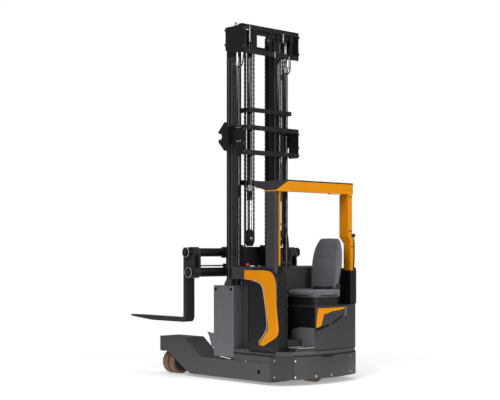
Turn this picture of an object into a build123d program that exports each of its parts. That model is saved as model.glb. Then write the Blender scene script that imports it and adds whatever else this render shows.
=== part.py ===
from build123d import *
import math
import os

os.makedirs("parts", exist_ok=True)

# Frame: +X is the truck's right, +Y is the side the forks point to, +Z is up, and z = 0 is the floor.

# Chassis and support arms
ARM_OUT_X = 663.0
ARM_IN_X = 360.0
ARM_TIP_Y = 923.0
ARM_BOX_REAR_Y = 465.0
ARM_SLOPE_REAR_Y = 180.0
ARM_BOX_TOP_Z = 455.0
ARM_LOW_TOP_Z = 245.0
ARM_BOTTOM_Z = 35.0
ARM_REAR_Y = -988.0
ARCH_TOP_Z = 275.0
ARCH_FRONT_Y = 782.0
ARCH_MID_Y = 417.0
ARCH_MID_Z = 61.0
ARCH_REAR_Y = 355.0
ARM_PLATE = 8.0
BAY_TOP_Z = 300.0
BAY_REAR_Y = 602.0
CROSS_FRONT_Y = -398.0
CROSS_REAR_Y = -688.0
CROSS_BOTTOM_Z = 60.0
LASHING_HOLE_R = 27.0
LASHING_HOLE_Y = -808.0
LASHING_HOLE_Z = 140.0

# Rear outline in plan: corner, shoulder and middle of the bowed back
BACK_CORNER_Y = -1078.0
BACK_SHOULDER_X = 517.0
BACK_SHOULDER_Y = -1202.0
BACK_MIDDLE_Y = -1298.0
SKIRT_BOTTOM_Z = 70.0
SKIRT_TOP_Z = 322.0
SEAT_GAP = 0.3
SKIRT_WALL = 10.0

# Load wheels: two on one axle under each arm, steered about a vertical pin
LOAD_PIN_X = 508.0
LOAD_PIN_Y = 792.0
LOAD_WHEEL_R = 142.5
LOAD_WHEEL_W = 90.0
LOAD_WHEEL_PITCH = 116.0
LOAD_RIM_R = 110.0
LOAD_AXLE_R = 20.0
LOAD_PLATE_W = 16.0
LOAD_HEAD_R = 100.0
LOAD_HEAD_T = 9.0
LOAD_STEM_R = 45.0

# Drive wheel
DRIVE_X = 0.0
DRIVE_Y = -1003.0
DRIVE_R = 171.5
DRIVE_W = 110.0
DRIVE_RIM_R = 135.0
DRIVE_AXLE_R = 28.0
DRIVE_CHEEK = 24.0
DRIVE_HEAD_R = 205.0
DRIVE_WELL_R = 225.0
DRIVE_STEM_R = 60.0
DRIVE_PLATE_Z = 2 * DRIVE_R + 7.0
DRIVE_PLATE_T = 18.0
BASE_TOP_Z = DRIVE_PLATE_Z + DRIVE_PLATE_T + 8.0

# Tall boxes on the arms
TOWER_IN_X = 436.0
TOWER_OUT_X = 660.0
TOWER_REAR_Y = -391.0
TOWER_FRONT_Y = -48.0
TOWER_BOTTOM_Z = 278.0
TOWER_TOP_Z = 1091.0
TOWER_FOOT = 70.0

# Reach carriage and its rollers in the arms
GROOVE_DEPTH = 45.0
GROOVE_BOTTOM_Z = 92.0
GROOVE_TOP_Z = 192.0
GROOVE_FRONT_Y = 592.0
REACH_TRAVEL = 500.0
REACH_ROLLER_R = 46.0
REACH_ROLLER_Z = GROOVE_BOTTOM_Z + REACH_ROLLER_R + SEAT_GAP
REACH_ROLLER_YS = (-198.0, -8.0)
REACH_PLATE_X = 351.0

# Mast rails: web and flange places for each stage, per side
RAIL_OUT = {"web_out": 350.0, "web_in": 341.0, "lip": 318.0, "rear": -128.0, "front": 62.0, "flange": 16.0}
RAIL_MID = {"web_out": 314.0, "web_in": 305.0, "out": 336.0, "lip": 286.0, "rear": -106.0, "front": 40.0,
            "flange": 14.0}
RAIL_INN = {"web_out": 278.0, "web_in": 269.0, "out": 300.0, "lip": 250.0, "rear": -86.0, "front": 20.0,
            "flange": 12.0}
MAST_BOTTOM_Z = 75.0
MAST_TOP_Z = 4100.0
STAGE_BOTTOM_Z = 85.0
MAST_STAGE_TRAVEL = 3000.0
STAGE_ROLLER_ZS = (MAST_TOP_Z - 750.0, MAST_TOP_Z - 170.0)
STAGE_ROLLER_W = 18.0
STAGE_STUD = 4.0

# Ties round the outer rails
HEAD_X = 440.0
HEAD_REAR_Y = -360.0
HEAD_FRONT_Y = -15.0
HEAD_TOP_Z = MAST_TOP_Z + 15.0
HEAD_BOTTOM_REAR_Z = HEAD_TOP_Z - 334.0
HEAD_BOTTOM_FRONT_Z = HEAD_TOP_Z - 272.0
YOKE_REAR_Y = -360.0
YOKE_FRONT_Y = -45.0
YOKE_TAB_Y = -205.0
YOKE_TOP_Z = MAST_TOP_Z - 1148.0
YOKE_BOTTOM_Z = YOKE_TOP_Z - 345.0
YOKE_STEP_Z = YOKE_TOP_Z - 212.0
CLAW_X = 500.0
CLAW_Y = 46.0
TIE_BAR = 55.0
TIE_PLATE = 12.0

# Lift cylinders: two long ones beside the rails, two short ones behind them
MAIN_CYL_X = 395.0
MAIN_CYL_Y = -178.0
MAIN_CYL_R = 31.0
MAIN_ROD_R = 22.0
MAIN_CYL_BOTTOM_Z = 470.0
MAIN_CYL_TOP_Z = MAST_TOP_Z - 410.0
CLAMP_ZS = (520.0, 1600.0, MAST_TOP_Z - 1320.0, MAST_TOP_Z - 500.0)
EAR_Z = MAST_TOP_Z - 85.0
EAR_H = 50.0
MIDDLE_TIE_Y = -333.0
MIDDLE_TIE_ZS = (EAR_Z, MAST_TOP_Z - 990.0, 900.0)
MIDDLE_STRUT_X = 320.0
MIDDLE_STRUT_W = 24.0
FREE_CYL_X = 239.0
FREE_CYL_Y = -218.0
FREE_CYL_R = 34.0
FREE_ROD_R = 27.0
FREE_CYL_BOTTOM_Z = 2082.0
FREE_CYL_TOP_Z = MAST_TOP_Z - 110.0
FREE_ROD_TOP_Z = FREE_CYL_TOP_Z - 490.0
GLAND_H = 106.0
COLLAR_H = 72.0
INNER_TIE_H = 60.0
INNER_TIE_ZS = (MAST_TOP_Z - 235.0, 2266.0, 130.0)
INNER_TIE_X = FREE_CYL_X - FREE_CYL_R - SEAT_GAP
SHEAVE_TOP_Z = 1741.0
SHEAVE_PIN_Z = 1635.0
SHEAVE_BOTTOM_Z = 1545.0
SHEAVE_HALF = 58.0
CHAIN_T = 12.0
CHAIN_W = 24.0
CHAIN_REACH = 67.0
SHEAVE_R = CHAIN_REACH - CHAIN_T / 2 - SEAT_GAP
PULLEY_Y = FREE_CYL_Y + 78.0
PULLEY_Z = MAST_TOP_Z - 73.0
PULLEY_R = PULLEY_Y - FREE_CYL_Y - CHAIN_T / 2 - SEAT_GAP
ROD_FIT = 0.08

# Fork carriage
TUBE_Y = 138.0
UPPER_TUBE_Z = 1472.0
UPPER_TUBE_R = 50.0
LOWER_TUBE_Z = 1240.0
LOWER_TUBE_R = 54.0
TUBE_HALF = 925.0
LOWER_TUBE_HALF = TUBE_HALF - 40.0
TUBE_CAP_T = 12.0
TUBE_CAP_REACH = 7.0
LINK_XS = (60.0, 215.0)
LINK_T = 18.0
LINK_W = 64.0
CARRIAGE_PLATE_X = 205.0
CARRIAGE_PLATE_T = 22.0
CARRIAGE_BOTTOM_Z = LOWER_TUBE_Z - 110.0
CARRIAGE_TOP_Z = UPPER_TUBE_Z + 88.0
CARRIAGE_ROLLER_Y = (RAIL_INN["rear"] + RAIL_INN["front"]) / 2
CARRIAGE_ROLLER_R = (RAIL_INN["front"] - RAIL_INN["rear"]) / 2 - RAIL_INN["flange"] - SEAT_GAP
CARRIAGE_ROLLER_W = 18.0
CARRIAGE_ROLLER_X = RAIL_INN["web_in"] - 6.0 - CARRIAGE_ROLLER_W / 2
CARRIAGE_FRONT_Y = 64.0
CARRIAGE_FACE_Y = 84.0
CARRIAGE_FACE_BOTTOM_Z = UPPER_TUBE_Z - 162.0
BEARING_XS = (110.0, 320.0)
CARRIAGE_ROLLER_ZS = (CARRIAGE_BOTTOM_Z + 60.0, CARRIAGE_TOP_Z - 60.0)
HUB_FIT = 0.08
TILT_FIT = 0.08

# Forks
FORK_X = TUBE_HALF - 124.0
FORK_W = 130.0
FORK_T = 50.0
FORK_BACK_Y = 197.0
FORK_BOTTOM_Z = 660.0
FORK_TIP_Y = 1298.0
FORK_TIP_T = 12.0
FORK_TAPER_L = 480.0
FORK_TIP_W = 84.0
FORK_TOP_Z = UPPER_TUBE_Z + 58.0
HUB_WALL = 14.0
HANGER_T = 22.0

# Body over the chassis
CONSOLE_IN_X = 477.0
CONSOLE_FRONT_Y = -655.0
CONSOLE_TOP_Z = 1300.0
HOOD_FRONT_Y = -348.0
HOOD_REAR_Y = -703.0
HOOD_BOTTOM_Z = 1171.0
HOOD_TOP_Z = 1312.0
BATTERY_X = 515.0
BATTERY_REAR_Y = -688.0
BATTERY_FRONT_Y = -405.0
BATTERY_BOTTOM_Z = 250.0
BATTERY_TOP_Z = 1034.0
POD_LEFT_X = -235.0
POD_TOP_Z = 870.0
POD_FRONT_Y = -708.0
WALL_IN_X = 618.0
WALL_TOP_Z = 1280.0
FLOOR_TOP_Z = BASE_TOP_Z + 36.0
STEP_BOX_TOP_Z = FLOOR_TOP_Z + 88.0
STEP_BOX_X = (-470.0, -262.0)

# Seat
SEAT_X = 80.0
SEAT_W = 480.0
SEAT_HOOD_GAP = 10.0
SEAT_Y = HOOD_REAR_Y - SEAT_HOOD_GAP - SEAT_W / 2
SEAT_D = 470.0
SEAT_BASE_TOP_Z = 968.0
SEAT_CUSHION_TOP_Z = 1050.0
SEAT_BACK_TOP_Z = 1640.0
SEAT_FOLDS = 5
# Backrest sections: share of its height, depth, width and lean
SEAT_BACK_SECTIONS = ((0.0, 80.0, 400.0, 0.0), (0.45, 100.0, 440.0, 32.0), (0.85, 84.0, 380.0, 72.0),
                      (1.0, 50.0, 280.0, 80.0))

# Overhead guard
GUARD_TOP_Z = 2280.0
GUARD_COVER_T = 15.0
GUARD_BEAM_BOTTOM_Z = 2150.0
GUARD_X = 650.0
GUARD_RIGHT_X = 612.0
GUARD_BEVEL_X = 472.0
GUARD_REAR_Y = -1080.0
GUARD_BEAM_Y = -1010.0
GUARD_FRONT_Y = -560.0
GUARD_SHEET = 14.0
GUARD_FRONT_BOTTOM_Z = 2205.0
POST_REAR_Y = GUARD_REAR_Y + 29.0
POST_FRONT_Y = -901.0
POST_FOOT_Z = CONSOLE_TOP_Z - 110.0
POST_W = 60.0
POST_PLATE_T = 25.0
KNEE_TOP_Z = 1659.0
KNEE_BOTTOM_Z = 1582.0
KNEE_UPPER = (533.0, 603.0, -1080.0, -930.0)
KNEE_LOWER = (556.0, 617.0, -1095.0, -975.0)


def block(x0, x1, y0, y1, z0, z1, mode=Mode.ADD):
    """An upright box between two corners."""
    with Locations(((x0 + x1) / 2, (y0 + y1) / 2, (z0 + z1) / 2)):
        Box(abs(x1 - x0), abs(y1 - y0), abs(z1 - z0), mode=mode)


def rod(axis, x, y, z, radius, length, mode=Mode.ADD):
    """A round bar centred on a point, along X, Y or Z."""
    turn = {"X": (0, 90, 0), "Y": (90, 0, 0), "Z": (0, 0, 0)}[axis]
    with Locations(Location((x, y, z), turn)):
        Cylinder(radius, length, mode=mode)


def back_points(inset):
    """The bowed back in plan, from the right corner to the left one."""
    return [
        (ARM_OUT_X - inset, BACK_CORNER_Y + inset * 0.4),
        (BACK_SHOULDER_X - inset * 0.5, BACK_SHOULDER_Y + inset),
        (0, BACK_MIDDLE_Y + inset),
        (-BACK_SHOULDER_X + inset * 0.5, BACK_SHOULDER_Y + inset),
        (-ARM_OUT_X + inset, BACK_CORNER_Y + inset * 0.4),
    ]


def back_outline(inset, front_y):
    """A closed plan outline: straight sides from front_y, then the bowed back."""
    pts = back_points(inset)
    Polyline(pts[4], (-ARM_OUT_X + inset, front_y), (ARM_OUT_X - inset, front_y), pts[0], pts[1])
    ThreePointArc(pts[1], pts[2], pts[3])
    Line(pts[3], pts[4])


# Chassis: two support arms joined by a cross beam and the base under the driver
with BuildPart() as frame:
    for side in (-1, 1):
        x_far = side * (ARM_OUT_X + ARM_IN_X) / 2
        with BuildSketch(Plane.YZ.offset(x_far)):
            Polygon(
                (ARM_REAR_Y, ARM_BOTTOM_Z),
                (ARCH_REAR_Y, ARM_BOTTOM_Z),
                (ARCH_MID_Y, ARCH_MID_Z),
                (ARCH_FRONT_Y, ARCH_TOP_Z),
                (ARM_TIP_Y, ARCH_TOP_Z),
                (ARM_TIP_Y, ARM_BOX_TOP_Z),
                (ARM_BOX_REAR_Y, ARM_BOX_TOP_Z),
                (ARM_SLOPE_REAR_Y, ARM_LOW_TOP_Z),
                (ARM_REAR_Y, ARM_LOW_TOP_Z),
                align=None,
            )
        extrude(amount=(ARM_OUT_X - ARM_IN_X) / 2, both=True)
    block(-ARM_IN_X, ARM_IN_X, CROSS_REAR_Y, CROSS_FRONT_Y, CROSS_BOTTOM_Z, ARM_LOW_TOP_Z)
    with BuildSketch(Plane.XY.offset(ARM_LOW_TOP_Z)):
        with BuildLine():
            back_outline(SKIRT_WALL + SEAT_GAP, CROSS_FRONT_Y)
        make_face()
    extrude(amount=BASE_TOP_Z - ARM_LOW_TOP_Z)
    # The battery and the driver's feet sit in the base, and the drive wheel turns under it
    block(-BATTERY_X - 5, BATTERY_X + 5, BATTERY_REAR_Y - 5, CROSS_FRONT_Y + 1, BATTERY_BOTTOM_Z, BASE_TOP_Z + 1,
          mode=Mode.SUBTRACT)
    rod("Z", DRIVE_X, DRIVE_Y, BASE_TOP_Z - 60, DRIVE_WELL_R, 2 * (BASE_TOP_Z - ARM_LOW_TOP_Z),
        mode=Mode.SUBTRACT)
    for side in (-1, 1):
        # Wheel bay under the arm's end, roller groove inside the arm and the lashing hole
        block(side * (ARM_OUT_X - ARM_PLATE), side * (ARM_IN_X - 1), BAY_REAR_Y, ARM_TIP_Y - ARM_PLATE,
              ARM_BOTTOM_Z - 1, BAY_TOP_Z, mode=Mode.SUBTRACT)
        block(side * (ARM_IN_X - 1), side * (ARM_IN_X + GROOVE_DEPTH), REACH_ROLLER_YS[0] - 60, GROOVE_FRONT_Y,
              GROOVE_BOTTOM_Z, GROOVE_TOP_Z, mode=Mode.SUBTRACT)
        rod("Z", side * LOAD_PIN_X, LOAD_PIN_Y, BAY_TOP_Z + 20, LOAD_STEM_R + ROD_FIT, 60.0, mode=Mode.SUBTRACT)
        rod("X", side * (ARM_OUT_X - 20), LASHING_HOLE_Y, LASHING_HOLE_Z, LASHING_HOLE_R, 60.0,
            mode=Mode.SUBTRACT)
frame.part.label = "frame"
export_step(frame.part, "parts/frame.step")

# Tall boxes that stand on short feet on the arms beside the mast
with BuildPart() as towers:
    for side in (-1, 1):
        x_mid = side * (TOWER_IN_X + TOWER_OUT_X) / 2
        y_mid = (TOWER_REAR_Y + TOWER_FRONT_Y) / 2
        with BuildSketch(Plane.XY.offset(TOWER_BOTTOM_Z)):
            with Locations((x_mid, y_mid)):
                RectangleRounded(TOWER_OUT_X - TOWER_IN_X, TOWER_FRONT_Y - TOWER_REAR_Y, 14)
        extrude(amount=TOWER_TOP_Z - TOWER_BOTTOM_Z)
        for y in (TOWER_REAR_Y + TOWER_FOOT, TOWER_FRONT_Y - TOWER_FOOT):
            with BuildSketch(Plane.XY.offset(ARM_LOW_TOP_Z)):
                with Locations((x_mid, y)):
                    RectangleRounded(TOWER_OUT_X - TOWER_IN_X - TOWER_FOOT, TOWER_FOOT, 10)
            extrude(amount=TOWER_BOTTOM_Z - ARM_LOW_TOP_Z)
        # Hooked guard low on the box
        with BuildSketch(Plane.YZ.offset(side * (TOWER_OUT_X - 3))):
            Polygon(
                (TOWER_FRONT_Y - 67, ARM_LOW_TOP_Z + 283),
                (TOWER_FRONT_Y - 10, ARM_LOW_TOP_Z + 127),
                (TOWER_FRONT_Y + 25, ARM_LOW_TOP_Z + 127),
                (TOWER_FRONT_Y + 69, ARM_LOW_TOP_Z + 252),
                (TOWER_FRONT_Y + 101, ARM_LOW_TOP_Z + 301),
                align=None,
            )
        extrude(amount=6, both=True)
        for y in (TOWER_REAR_Y + 85, TOWER_FRONT_Y - 85):
            rod("X", side * TOWER_OUT_X, y, TOWER_TOP_Z - 22, 9.0, 30.0, mode=Mode.SUBTRACT)
    chamfer(towers.edges().group_by(Axis.Z)[-1], length=6)
towers.part.label = "towers"
export_step(towers.part, "parts/towers.step")

# Lower skirt round the bowed back
with BuildPart() as skirt:
    with BuildSketch(Plane.XY.offset(SKIRT_BOTTOM_Z)):
        with BuildLine():
            back_outline(0, ARM_REAR_Y)
        make_face()
        with BuildLine():
            back_outline(SKIRT_WALL, ARM_REAR_Y + 1)
        make_face(mode=Mode.SUBTRACT)
    extrude(amount=SKIRT_TOP_Z - SKIRT_BOTTOM_Z)
skirt.part.label = "skirt"
export_step(skirt.part, "parts/skirt.step")

# Battery block between the mast and the driver
with BuildPart() as battery:
    block(-BATTERY_X, BATTERY_X, BATTERY_REAR_Y, BATTERY_FRONT_Y, BATTERY_BOTTOM_Z, BATTERY_TOP_Z)
battery.part.label = "battery"
export_step(battery.part, "parts/battery.step")

# Hood over the battery, carried by end cheeks that stand on the base
with BuildPart() as hood:
    with BuildSketch(Plane.YZ.offset(-ARM_OUT_X)):
        Polygon(
            (HOOD_REAR_Y, HOOD_BOTTOM_Z),
            (HOOD_FRONT_Y, HOOD_BOTTOM_Z),
            (HOOD_FRONT_Y, HOOD_TOP_Z - 45),
            (HOOD_FRONT_Y - 35, HOOD_TOP_Z),
            (HOOD_REAR_Y, HOOD_TOP_Z - 15),
            align=None,
        )
    extrude(amount=2 * ARM_OUT_X)
    fillet(hood.edges().filter_by(Axis.X).group_by(Axis.Z)[-1], radius=12)
    fillet(hood.edges().filter_by(Axis.Z).group_by(Axis.Y)[-1], radius=30)
    for side in (-1, 1):
        block(side * (BATTERY_X + 8), side * (BATTERY_X + 20), HOOD_REAR_Y, CROSS_FRONT_Y + 6, BASE_TOP_Z,
              HOOD_BOTTOM_Z)
    block(-BATTERY_X - 20, BATTERY_X + 20, HOOD_REAR_Y, HOOD_REAR_Y + 10, BASE_TOP_Z, HOOD_BOTTOM_Z)
    block(-BATTERY_X - 20, BATTERY_X + 20, CROSS_FRONT_Y + 0.5, CROSS_FRONT_Y + 6, BATTERY_BOTTOM_Z, HOOD_BOTTOM_Z)
hood.part.label = "hood"
export_step(hood.part, "parts/hood.step")

# Left console beside the driver's knees, with a rounded top
with BuildPart() as console:
    with BuildSketch(Plane.YZ.offset(-ARM_OUT_X)):
        with BuildLine():
            Line((BACK_CORNER_Y, BASE_TOP_Z), (BACK_CORNER_Y, CONSOLE_TOP_Z - 110))
            ThreePointArc(
                (BACK_CORNER_Y, CONSOLE_TOP_Z - 110),
                (BACK_CORNER_Y + 42, CONSOLE_TOP_Z - 38),
                (BACK_CORNER_Y + 150, CONSOLE_TOP_Z),
            )
            Polyline(
                (BACK_CORNER_Y + 150, CONSOLE_TOP_Z),
                (HOOD_REAR_Y - 0.5, CONSOLE_TOP_Z - 10),
                (HOOD_REAR_Y - 0.5, HOOD_BOTTOM_Z - 0.5),
                (CONSOLE_FRONT_Y, HOOD_BOTTOM_Z - 0.5),
                (CONSOLE_FRONT_Y, BASE_TOP_Z + 72),
                (BACK_CORNER_Y + 300, BASE_TOP_Z + 72),
                (BACK_CORNER_Y + 60, BASE_TOP_Z),
                (BACK_CORNER_Y, BASE_TOP_Z),
            )
        make_face()
    extrude(amount=ARM_OUT_X - CONSOLE_IN_X)
    fillet(console.edges().filter_by(Axis.Z).group_by(Axis.Y)[0], radius=22)
    block(-ARM_OUT_X + 20, -CONSOLE_IN_X, BACK_CORNER_Y + 60, CONSOLE_FRONT_Y, BASE_TOP_Z, BASE_TOP_Z + 80)
    # Room for the hood's end cheek and a pocket for the guard's post
    block(-BATTERY_X - 20.5, -CONSOLE_IN_X + 1, HOOD_REAR_Y - 0.5, CONSOLE_FRONT_Y + 1, BASE_TOP_Z - 1, HOOD_BOTTOM_Z,
          mode=Mode.SUBTRACT)
    block(-GUARD_X - SEAT_GAP, -GUARD_X + POST_W + POST_PLATE_T + SEAT_GAP, POST_REAR_Y - SEAT_GAP,
          POST_FRONT_Y + SEAT_GAP, POST_FOOT_Z, CONSOLE_TOP_Z + 20, mode=Mode.SUBTRACT)
console.part.label = "console"
export_step(console.part, "parts/console.step")

# Coloured band on the console's outer face
with BuildPart() as console_band:
    with BuildSketch(Plane.YZ.offset(-ARM_OUT_X - 6)):
        Polygon(
            (BACK_CORNER_Y + 488, CONSOLE_TOP_Z - 34),
            (BACK_CORNER_Y + 288, CONSOLE_TOP_Z - 30),
            (BACK_CORNER_Y + 135, CONSOLE_TOP_Z - 43),
            (BACK_CORNER_Y + 59, CONSOLE_TOP_Z - 64),
            (BACK_CORNER_Y + 30, CONSOLE_TOP_Z - 94),
            (BACK_CORNER_Y + 22, CONSOLE_TOP_Z - 320),
            (BACK_CORNER_Y + 22, BASE_TOP_Z + 239),
            (BACK_CORNER_Y + 189, BASE_TOP_Z + 76),
            (BACK_CORNER_Y + 280, BASE_TOP_Z + 86),
            (BACK_CORNER_Y + 105, BASE_TOP_Z + 253),
            (BACK_CORNER_Y + 189, CONSOLE_TOP_Z - 188),
            (BACK_CORNER_Y + 227, CONSOLE_TOP_Z - 162),
            (BACK_CORNER_Y + 488, CONSOLE_TOP_Z - 122),
            align=None,
        )
    extrude(amount=6)
console_band.part.label = "console_band"
export_step(console_band.part, "parts/console_band.step")

# Seat pod on the right, following the bowed back
with BuildPart() as pod:
    with BuildSketch(Plane.XY.offset(BASE_TOP_Z)):
        with BuildLine():
            back_outline(4, POD_FRONT_Y)
        make_face()
        with Locations(((-ARM_OUT_X + POD_LEFT_X) / 2, BACK_CORNER_Y)):
            Rectangle(ARM_OUT_X + POD_LEFT_X, -2 * BACK_MIDDLE_Y, mode=Mode.SUBTRACT)
    extrude(amount=POD_TOP_Z - BASE_TOP_Z)
    # Bearing of the drive wheel's turning head
    rod("Z", DRIVE_X, DRIVE_Y, BASE_TOP_Z + 10, DRIVE_STEM_R + ROD_FIT, 80.0, mode=Mode.SUBTRACT)
pod.part.label = "pod"
export_step(pod.part, "parts/pod.step")

# Coloured stripe bent round the pod's upper edge
with BuildPart() as pod_accent:
    with BuildSketch(Plane.XY.offset(BASE_TOP_Z)):
        with BuildLine():
            back_outline(0.2, POD_FRONT_Y)
        make_face()
        with BuildLine():
            back_outline(4 - SEAT_GAP, POD_FRONT_Y - 1)
        make_face(mode=Mode.SUBTRACT)
    extrude(amount=POD_TOP_Z - BASE_TOP_Z)
    with BuildSketch(Plane.XZ.offset(-BACK_SHOULDER_Y)):
        Polygon(
            (-100.0, POD_TOP_Z - 251),
            (-34.0, POD_TOP_Z - 22),
            (356.0, POD_TOP_Z - 22),
            (356.0, POD_TOP_Z - 46),
            (-8.0, POD_TOP_Z - 46),
            (-68.0, POD_TOP_Z - 251),
            align=None,
        )
    extrude(amount=120, mode=Mode.INTERSECT)
pod_accent.part.label = "pod_accent"
export_step(pod_accent.part, "parts/pod_accent.step")

# Right side wall behind the driver
with BuildPart() as wall:
    with BuildSketch(Plane.YZ.offset(WALL_IN_X)):
        Polygon(
            (BACK_CORNER_Y + 5, POD_TOP_Z),
            (BACK_CORNER_Y + 5, WALL_TOP_Z - 30),
            (BACK_CORNER_Y + 35, WALL_TOP_Z),
            (HOOD_REAR_Y - 0.5, WALL_TOP_Z + 15),
            (HOOD_REAR_Y - 0.5, POD_TOP_Z),
            align=None,
        )
    extrude(amount=ARM_OUT_X - WALL_IN_X)
wall.part.label = "wall"
export_step(wall.part, "parts/wall.step")

# Floor of the driver's place with its step
with BuildPart() as floor:
    with BuildSketch(Plane.XY.offset(BASE_TOP_Z)):
        with BuildLine():
            back_outline(SKIRT_WALL + 2, HOOD_REAR_Y - 1)
        make_face()
        with Locations(((ARM_OUT_X + POD_LEFT_X) / 2 - 1, BACK_CORNER_Y)):
            Rectangle(ARM_OUT_X - POD_LEFT_X, -2 * BACK_MIDDLE_Y, mode=Mode.SUBTRACT)
        with Locations((-(ARM_OUT_X + CONSOLE_IN_X) / 2, BACK_CORNER_Y)):
            Rectangle(ARM_OUT_X - CONSOLE_IN_X + 2, -2 * BACK_MIDDLE_Y, mode=Mode.SUBTRACT)
    extrude(amount=FLOOR_TOP_Z - BASE_TOP_Z)
    # Low box that the driver's feet rest on
    block(STEP_BOX_X[0], STEP_BOX_X[1], BACK_CORNER_Y, HOOD_REAR_Y - 1, FLOOR_TOP_Z - 1, STEP_BOX_TOP_Z)
    fillet(floor.edges().group_by(Axis.Z)[-1], radius=12)
floor.part.label = "floor"
export_step(floor.part, "parts/floor.step")

# Seat: sprung base in folds, cushion and backrest; the driver faces -X
with BuildPart() as seat_base:
    fold_h = (SEAT_BASE_TOP_Z - POD_TOP_Z) / SEAT_FOLDS
    for fold in range(SEAT_FOLDS):
        z = POD_TOP_Z + fold * fold_h
        wide = 0 if fold % 2 else 30
        with BuildSketch(Plane.XY.offset(z)):
            with Locations((SEAT_X, SEAT_Y)):
                RectangleRounded(SEAT_D - 60 + wide, SEAT_W - 70 + wide, 50)
        extrude(amount=fold_h)
seat_base.part.label = "seat_base"
export_step(seat_base.part, "parts/seat_base.step")

with BuildPart() as seat_cushion:
    with BuildSketch(Plane.XY.offset(SEAT_BASE_TOP_Z)):
        with Locations((SEAT_X, SEAT_Y)):
            RectangleRounded(SEAT_D, SEAT_W, 70)
    extrude(amount=SEAT_CUSHION_TOP_Z - SEAT_BASE_TOP_Z)
    fillet(seat_cushion.edges().group_by(Axis.Z)[-1], radius=24)
seat_cushion.part.label = "seat_cushion"
export_step(seat_cushion.part, "parts/seat_cushion.step")

with BuildPart() as seat_back:
    for level, depth, width, lean in SEAT_BACK_SECTIONS:
        with BuildSketch(Plane.XY.offset(SEAT_CUSHION_TOP_Z + level * (SEAT_BACK_TOP_Z - SEAT_CUSHION_TOP_Z))):
            with Locations((SEAT_X + SEAT_D / 2 - 45 + lean, SEAT_Y)):
                RectangleRounded(depth, width, depth * 0.4)
    loft()
seat_back.part.label = "seat_back"
export_step(seat_back.part, "parts/seat_back.step")

# Overhead guard: a clad left post with a plate inside it, a kneed right post and the bevelled roof
with BuildPart() as guard_left:
    with BuildSketch(Plane.XY.offset(POST_FOOT_Z)):
        with Locations((-GUARD_X + POST_W / 2, (POST_REAR_Y + POST_FRONT_Y) / 2)):
            RectangleRounded(POST_W, POST_FRONT_Y - POST_REAR_Y, 14)
    extrude(amount=GUARD_BEAM_BOTTOM_Z - POST_FOOT_Z)
guard_left.part.label = "guard_left"
export_step(guard_left.part, "parts/guard_left.step")

with BuildPart() as guard_plate:
    block(-GUARD_X + POST_W, -GUARD_X + POST_W + POST_PLATE_T, POST_REAR_Y, POST_FRONT_Y - 4, POST_FOOT_Z,
          GUARD_BEAM_BOTTOM_Z)
    block(-GUARD_X + POST_W, -GUARD_X + POST_W + POST_PLATE_T, GUARD_REAR_Y, POST_REAR_Y + 1, CONSOLE_TOP_Z + 20,
          GUARD_BEAM_BOTTOM_Z)
guard_plate.part.label = "guard_plate"
export_step(guard_plate.part, "parts/guard_plate.step")

with BuildPart() as guard_right:
    block(*KNEE_UPPER, KNEE_TOP_Z, GUARD_BEAM_BOTTOM_Z)
    block(*KNEE_LOWER, POD_TOP_Z, KNEE_BOTTOM_Z)
    for z, (x0, x1, y0, y1) in ((KNEE_BOTTOM_Z, KNEE_LOWER), (KNEE_TOP_Z, KNEE_UPPER)):
        with BuildSketch(Plane.XY.offset(z)):
            with Locations(((x0 + x1) / 2, (y0 + y1) / 2)):
                Rectangle(x1 - x0, y1 - y0)
    loft()
    chamfer(guard_right.edges().filter_by(Axis.Z), length=8)
guard_right.part.label = "guard_right"
export_step(guard_right.part, "parts/guard_right.step")


def roof_profile(drop, side, bottom_z):
    """The roof's section across the truck, bevelled on the left."""
    top_z = GUARD_TOP_Z - drop
    Polygon(
        (-GUARD_X + side, bottom_z),
        (-GUARD_X + side, GUARD_BEAM_BOTTOM_Z + 27 - drop),
        (-GUARD_BEVEL_X, top_z),
        (GUARD_RIGHT_X - side, top_z),
        (GUARD_RIGHT_X - side, bottom_z),
        align=None,
    )


def roof_plan():
    """The roof in plan, with its cut front left corner."""
    Polygon(
        (-GUARD_X, GUARD_REAR_Y),
        (-GUARD_X, POST_FRONT_Y),
        (-GUARD_BEVEL_X - 80, GUARD_FRONT_Y - 77),
        (-GUARD_BEVEL_X, GUARD_FRONT_Y),
        (GUARD_RIGHT_X, GUARD_FRONT_Y),
        (GUARD_RIGHT_X, GUARD_REAR_Y),
        align=None,
    )


with BuildPart() as guard_roof:
    with BuildSketch(Plane.XZ.offset(-GUARD_REAR_Y)):
        roof_profile(GUARD_COVER_T + SEAT_GAP, 0, GUARD_BEAM_BOTTOM_Z)
    extrude(amount=GUARD_REAR_Y - GUARD_FRONT_Y)
    with BuildSketch(Plane.XZ.offset(-GUARD_BEAM_Y)):
        roof_profile(GUARD_COVER_T + GUARD_SHEET + 12, GUARD_SHEET, GUARD_BEAM_BOTTOM_Z - 30)
    extrude(amount=GUARD_BEAM_Y - GUARD_FRONT_Y + GUARD_SHEET, mode=Mode.SUBTRACT)
    block(-GUARD_X - 1, GUARD_RIGHT_X + 1, POST_FRONT_Y, GUARD_FRONT_Y + 1, GUARD_BEAM_BOTTOM_Z - 1,
          GUARD_FRONT_BOTTOM_Z, mode=Mode.SUBTRACT)
    with BuildSketch(Plane.XY.offset(GUARD_BEAM_BOTTOM_Z - 1)):
        roof_plan()
    extrude(amount=GUARD_TOP_Z - GUARD_BEAM_BOTTOM_Z, mode=Mode.INTERSECT)
guard_roof.part.label = "guard_roof"
export_step(guard_roof.part, "parts/guard_roof.step")

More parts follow.
